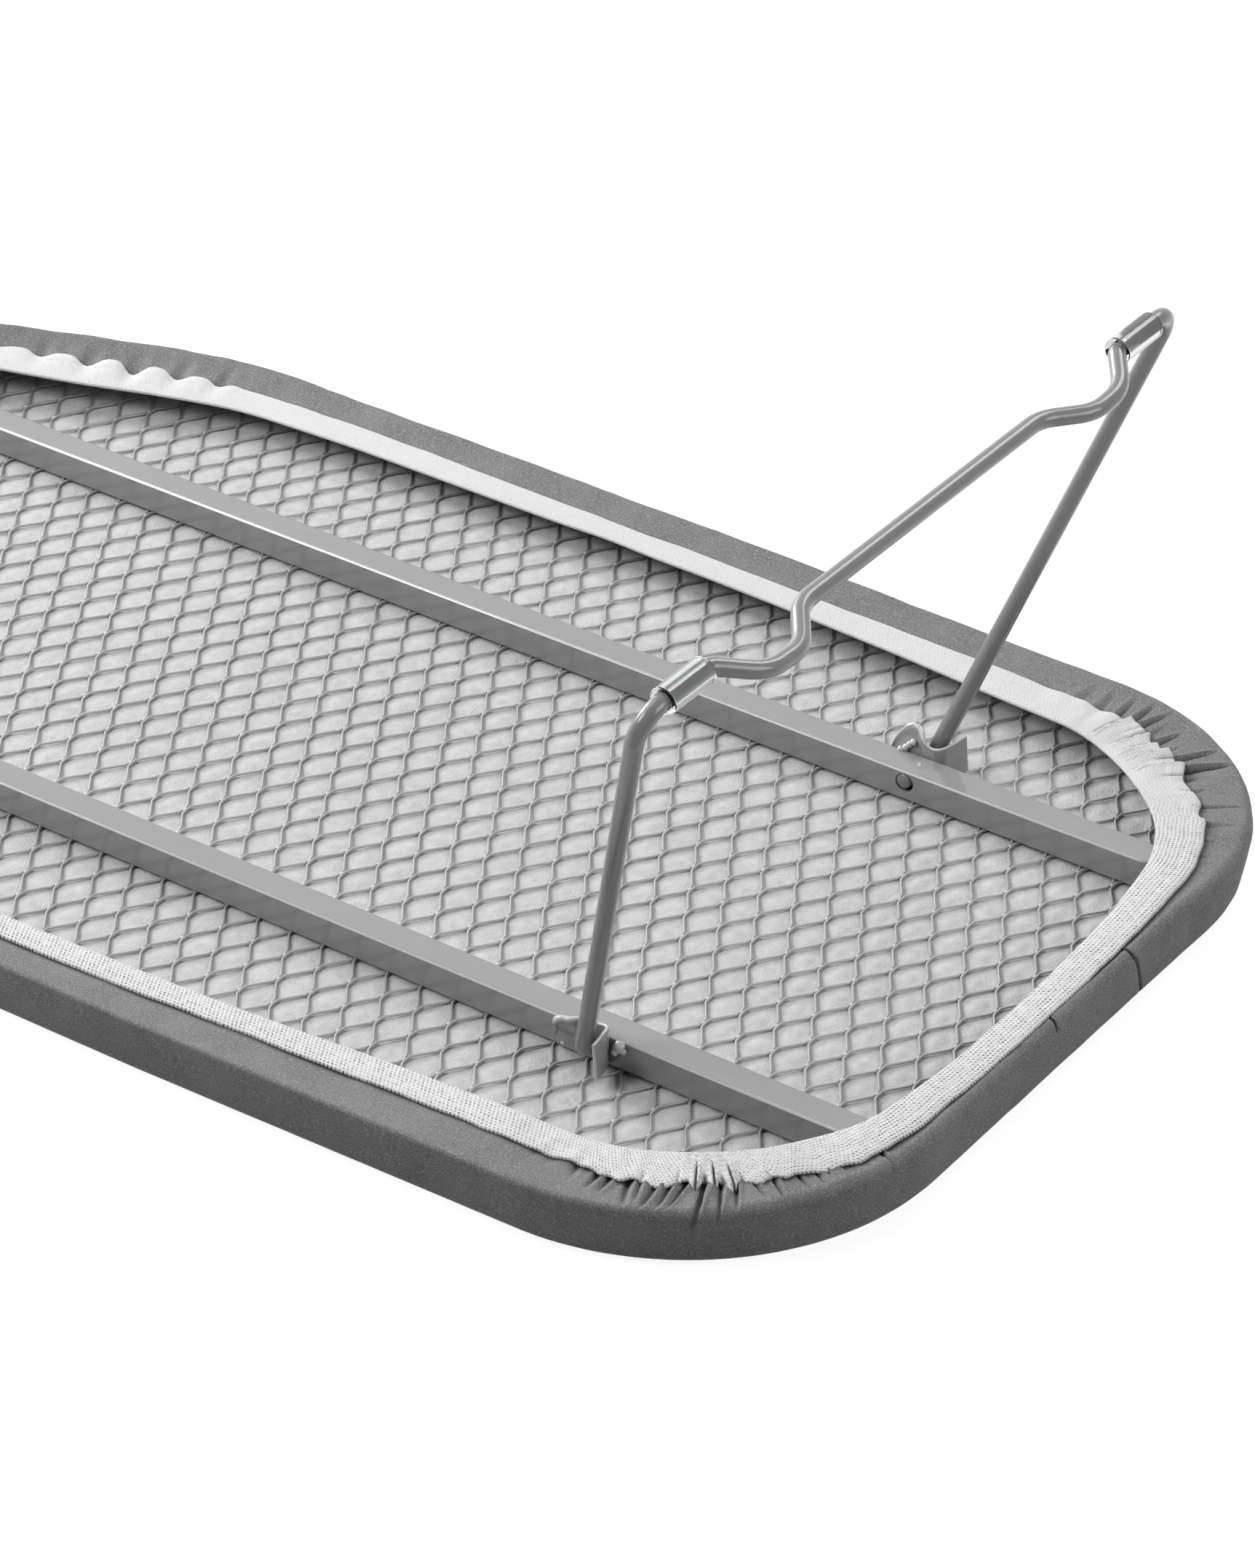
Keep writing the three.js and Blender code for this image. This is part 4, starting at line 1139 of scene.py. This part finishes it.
def toBracket(across, out, up, end, place):
    # from a bracket's own sizes in mm to the board's frame
    pivotX = pivots[end][0]
    turn = 1 if end == "square_end" else -1
    side = -1 if place == "near" else 1
    return np.stack([pivotX + turn * across * mm, side * (bracket["railFace"] + out * mm), up * mm], -1)


def makeBracket(end, place):
    b = bracket
    u = borderSteps(46, 0.018)
    corners = np.array([[b["reach"], 0.5, 0], [b["corner"], 0.5, 0], [*b["earEnd"], 0]])
    path = bentPath(corners, [b["bend"]], 12)
    run = np.r_[0, np.cumsum(np.linalg.norm(np.diff(path, axis=0), axis=1))]
    across, out = (np.interp(u * run[-1], run, path[:, k]) for k in (0, 1))
    top = np.interp(across, b["topAcross"], b["topUp"])
    top = top - b["drop"][place] * easeBetween(1, -3, across)
    ear = easeBetween(2, 10, out)
    bottom = b["bottom"] / mm + b["earRise"] * ear
    v = borderSteps(16, 0.035)[:, None]
    up = bottom + (top - bottom) * v
    lobe = easeBetween(0.2, -2.2, across)
    foot = b["flareFrom"][place]
    rise = np.clip((up - foot) / (b["lobeTop"] - b["drop"][place] - foot), 0, 1)
    flared = out + b["flare"][place] * lobe * (0.65 + 0.35 * easeBetween(-2, -9, across)) * rise ** 1.2
    leant = across + b["earLean"] * (b["leanFrom"] - up) * ear - b["aside"][place] * lobe * rise
    sheetPiece(f"{end}_bracket_{place}_pressed", toBracket(leant, flared, up, end, place),
               b["thickness"] * (1 + b["lip"] * lobe * easeBetween(0.78, 0.9, v)),
               replaces=[f"{end}_bracket_{place}"])
    across, out, up, radii = np.array(b["welds"][place]).T
    # the weld drops are painted lighter, the far ones lightest: painted highlights
    ballsPiece(f"{end}_bracket_{place}_welds", unitBall(b["dropRings"], b["dropAround"], b["dropBumps"]),
               toBracket(across, out, up, end, place), radii * mm,
               weldPaint if place == "far" else brightDrops)


for end in ("square_end", "nose_end"):
    for place in ("near", "far"):
        makeBracket(end, place)
print("brackets made")


# Legs, each one bent wire with a clear sleeve by each foot

leg = {
    "wireRadius": 2.55 * mm, "lean": math.radians(17.6), "length": 148.8 * mm, "setback": 4 * mm,
    "dipDepth": 10.3 * mm, "dipMiddle": 77.5 * mm, "dipFlat": 13 * mm, "dipOuterRun": 12.6 * mm,
    "dipInnerRun": 14 * mm, "wireLine": 85.47 * mm, "wireEnd": 71.5 * mm,
    "bends": {"pivot": 2.75, "foot": 7.8, "sleeve": 5, "dip": 15}, "bendSteps": 14, "around": 20,
    "endShift": np.array([-0.5, 0, 0.2]) * mm, "endPinch": 0.22 * mm, "chamfer": 0.4 * mm, "endShare": 0.82,
    "sleeveRadius": 3.95 * mm, "sleeveBore": 2.62 * mm, "sleeveFromDip": 2 * mm, "sleeveFromFoot": 0.3 * mm,
    "sleeveRound": 0.35 * mm, "closeRing": 0.05 * mm, "sleeveAround": 48,
    # how far each corner of a half lies off its drawn place, from the foot to the middle, in mm
    "unevenNear": [(0, 0, 0)] * 5 + [(0, -2.6, 0), (0, -3.0, 0)],
    "unevenFar": [(0, 0, 0), (0, 0, 0), (0, 2.6, 1), (0, 1.9, 0), (-1.1, 3, 0.5), (-1.1, 3.2, 0.6),
                  (0, 4.1, -0.1)],
}
legEnds = {"square_end": {"turn": 0.0, "footWidth": 254.4 * mm},
           "nose_end": {"turn": math.pi, "footWidth": 247.6 * mm}}


def legCorners(footWidth):
    # the wire's corners in the leg's own frame: X across the leg's plane, Z along its wires
    g = leg
    bar, run = g["length"] - g["setback"], g["dipOuterRun"] + g["dipFlat"] + g["dipInnerRun"]
    outerCorner, innerCorner = g["dipMiddle"] + g["dipFlat"] / 2, g["dipMiddle"] - g["dipFlat"] / 2
    outerShare, innerShare = (g["dipInnerRun"] + g["dipFlat"]) / run, g["dipInnerRun"] / run
    half = np.array([
        [0, g["wireEnd"], 0], [0, g["wireLine"], 0], [0, footWidth / 2, g["length"]],
        [0, outerCorner + g["dipOuterRun"], g["length"]],
        [g["dipDepth"], outerCorner, bar + g["setback"] * outerShare],
        [g["dipDepth"], innerCorner, bar + g["setback"] * innerShare],
        [0, innerCorner - g["dipInnerRun"], bar]])
    near = (half + np.array(g["unevenNear"]) * mm) * [1, -1, 1]
    far = half + np.array(g["unevenFar"]) * mm
    return np.vstack([near, far[::-1]])


def sweptTube(path, radii, around):
    # rings of the given radii along a path, kept square to it; X stays a guide that no run is parallel to
    forward = np.gradient(path, axis=0)
    forward /= np.linalg.norm(forward, axis=1, keepdims=True)
    guide = np.array([1.0, 0.0, 0.0])
    first = guide - forward * (forward @ guide)[:, None]
    first /= np.linalg.norm(first, axis=1, keepdims=True)
    second = np.cross(forward, first)
    a = np.linspace(0, 2 * math.pi, around, endpoint=False)[None, :, None]
    spread = first[:, None] * np.cos(a) + second[:, None] * np.sin(a)
    return path[:, None] + spread * np.asarray(radii)[:, None, None]


def placeLeg(points, end):
    # leans a leg about its hinge, turns it to its end of the board and sets it on its pivot
    lean, turn = leg["lean"], legEnds[end]["turn"]
    x, y, z = points[..., 0], points[..., 1], points[..., 2]
    leaned = np.stack([x * math.cos(lean) + z * math.sin(lean), y, z * math.cos(lean) - x * math.sin(lean)],
                      -1)
    flip = np.array([math.cos(turn), math.cos(turn), 1.0])
    return leaned * flip + pivots[end]


def makeLegs():
    g = leg
    half = [g["bends"][key] * mm for key in ("pivot", "foot", "sleeve", "dip", "dip", "dip")]
    for end, facts in legEnds.items():
        body = f"{end}_leg_frame"
        path = bentPath(legCorners(facts["footWidth"]), half + half[::-1], g["bendSteps"])
        step = np.linalg.norm(np.diff(path, axis=0), axis=1)
        path = path[np.r_[True, step > seamGap]]
        run = np.r_[0, np.cumsum(step[step > seamGap])]
        pinch = 1 - easeBetween(1.5 * mm, 5 * mm, np.minimum(run, run[-1] - run))
        path = path + pinch[:, None] * g["endShift"]
        first, last = (tip + (after - tip) / np.linalg.norm(after - tip) * g["chamfer"]
                       for tip, after in (path[:2], path[:-3:-1]))
        line = np.vstack([first, path[1:-1], last])
        tube = sweptTube(line, g["wireRadius"] - g["endPinch"] * pinch, g["around"])
        head = [np.repeat(path[:1], g["around"], 0), path[0] + (tube[0] - line[0]) * g["endShare"]]
        tail = [path[-1] + (tube[-1] - line[-1]) * g["endShare"], np.repeat(path[-1:], g["around"], 0)]
        grid = placeLeg(np.concatenate([head, tube, tail]), end)
        gridPiece(f"{end}_leg_wire", grid, wirePaint, "grey_paint", False, True, weld=True, body=body,
                  replaces=[f"{end}_leg"])
        makeSleeves(end, facts["footWidth"], body)


def makeSleeves(end, footWidth, body):
    # a tube's section turned about the wire's straight run: outside, rounded ends, bore
    g = leg
    splay = math.atan2(footWidth / 2 - g["wireLine"], g["length"])
    inner = g["dipMiddle"] + g["dipFlat"] / 2 + g["dipOuterRun"] + g["sleeveFromDip"]
    footBend = g["bends"]["foot"] * mm * math.tan((math.pi / 2 + splay) / 2)
    outer = footWidth / 2 - footBend - g["sleeveFromFoot"]
    # outside with rounded ends, then back through the bore; close rings keep the long faces' shading straight
    roundOff, close, radius, bore = g["sleeveRound"], g["closeRing"], g["sleeveRadius"], g["sleeveBore"]
    a = np.linspace(0, math.pi / 2, 5)
    radii = np.r_[radius - roundOff * (1 - np.sin(a)), radius, radius, radius - roundOff * (1 - np.cos(a)),
                  bore + close, bore, bore, bore, bore, bore + close]
    runs = np.r_[inner + roundOff * (1 - np.cos(a)), inner + roundOff + close, outer - roundOff - close,
                 outer - roundOff * (1 - np.sin(a)), outer, outer, outer - close, inner + close, inner,
                 inner]
    turn = np.linspace(0, 2 * math.pi, g["sleeveAround"], endpoint=False)[None, :]
    for side, place in ((-1, "near"), (1, "far")):
        label = place if legEnds[end]["turn"] == 0.0 else {"near": "far", "far": "near"}[place]
        grid = np.stack([radii[:, None] * np.cos(turn), side * (runs[:, None] + 0 * turn),
                         g["length"] + radii[:, None] * np.sin(turn)], -1)
        gridPiece(f"{end}_foot_sleeve_{label}_tube", placeLeg(grid, end), clearVinyl, "clear_vinyl", True,
                  True, body=body, replaces=[f"{end}_foot_sleeve_{label}"])


makeLegs()
print("legs made")


# Studio: pale floor, white surroundings, six soft lamps and the photograph's camera

studio = {
    "throughVinyl": 0.03, "floorAlbedo": 0.3, "floorGlow": 0.9, "floorReach": 9.0, "floorLevel": -0.3 * mm,
    "aim": (0.1, 0, 0),
    "lamps": {
        "left": {"from": (-1.6, 0.2, 0.8), "size": 0.9, "radiance": 10.9},
        "frontLeft": {"from": (-0.7, -1.0, 1.25), "size": 0.75, "radiance": 7.3},
        "above": {"from": (-0.9, 0.0, 1.9), "size": 1.2, "radiance": 2.0},
        "back": {"from": (0.3, 1.6, 1.7), "size": 0.8, "radiance": 5.6},
        "backLeft": {"from": (-1.9, 1.1, 0.7), "size": 0.9, "radiance": 2.0},
        "right": {"from": (1.6, 0.2, 0.8), "size": 0.8, "radiance": 3.6},
    },
}


def seenStraight(tree):
    # 1 for camera rays and clean reflections, less for soft light through the vinyl, 0 otherwise
    path = addNode(tree, "ShaderNodeLightPath").outputs
    clean = calc(tree, "MAXIMUM", path["Is Glossy Ray"], path["Is Transmission Ray"])
    soft = calc(tree, "GREATER_THAN", path["Diffuse Depth"], 0.5)
    return calc(tree, "MULTIPLY", calc(tree, "MAXIMUM", path["Is Camera Ray"], clean),
                rescale(tree, soft, 1.0, studio["throughVinyl"]))


def makeWorld():
    world = bpy.data.worlds.new("surroundings")
    bpy.context.scene.world = world
    tree = clearTree(world)
    background = addNode(tree, "ShaderNodeBackground",
                         {"Color": (1, 1, 1, 1), "Strength": seenStraight(tree)})
    addNode(tree, "ShaderNodeOutputWorld", {"Surface": background.outputs[0]})


def makeFloor():
    # matt floor that keeps the object's shadow, lifted to white for the camera and in reflections
    material = bpy.data.materials.new("paleFloor")
    tree = clearTree(material)
    matt = addNode(tree, "ShaderNodeBsdfDiffuse", {"Color": grey(studio["floorAlbedo"])})
    strength = calc(tree, "MULTIPLY", seenStraight(tree), studio["floorGlow"])
    glow = addNode(tree, "ShaderNodeEmission", {"Color": (1, 1, 1, 1), "Strength": strength})
    both = addNode(tree, "ShaderNodeAddShader", {0: matt.outputs[0], 1: glow.outputs[0]})
    addNode(tree, "ShaderNodeOutputMaterial", {"Surface": both.outputs[0]})
    reach, level = studio["floorReach"], studio["floorLevel"]
    points = np.array([[-reach, -reach, level], [reach, -reach, level], [reach, reach, level],
                       [-reach, reach, level]])
    mesh = meshFrom("floor", points, np.array([[0, 1, 2, 3]]))
    mesh.materials.append(material)
    addObject("floor", mesh)


def aimObject(thing, eye, target, roll=0.0):
    # stands at the eye with -Z at the target and Y up, rolled about the view
    forward = np.array(target) - np.array(eye)
    forward = forward / np.linalg.norm(forward)
    right = np.cross(forward, [0, 0, 1])
    right /= np.linalg.norm(right)
    up = np.cross(right, forward)
    pose = np.eye(4)
    pose[:3, 0] = right * math.cos(roll) + up * math.sin(roll)
    pose[:3, 1] = up * math.cos(roll) - right * math.sin(roll)
    pose[:3, 2] = -forward
    pose[:3, 3] = eye
    thing.matrix_world = Matrix(pose.tolist())


def makeLamps():
    for name, facts in studio["lamps"].items():
        lamp = bpy.data.lights.new(name, "AREA")
        lamp.shape = "SQUARE"
        lamp.size = facts["size"]
        lamp.energy = facts["radiance"] * math.pi * facts["size"] ** 2  # a lamp's watts from its brightness
        aimObject(addObject(name, lamp), facts["from"], studio["aim"])


camera = {
    "eye": (0.99578, -1.12576, 0.93555), "view": (-0.47377, 0.68726, -0.55065),
    "roll": math.radians(0.5775), "focal": 8152.1, "frameHeight": 2156, "sensor": 36.0, "clip": (0.05, 40),
}


def makeCamera():
    data = bpy.data.cameras.new("photoCamera")
    data.sensor_width = camera["sensor"]
    data.lens = camera["focal"] / camera["frameHeight"] * camera["sensor"]  # focal length, pixels to mm
    data.clip_start, data.clip_end = camera["clip"]
    thing = addObject("photoCamera", data)
    eye = np.array(camera["eye"])
    aimObject(thing, eye, eye + np.array(camera["view"]), camera["roll"])
    bpy.context.scene.camera = thing


makeWorld()
makeFloor()
makeLamps()
makeCamera()
bpy.context.scene.view_settings.view_transform = "Standard"
print("studio made")
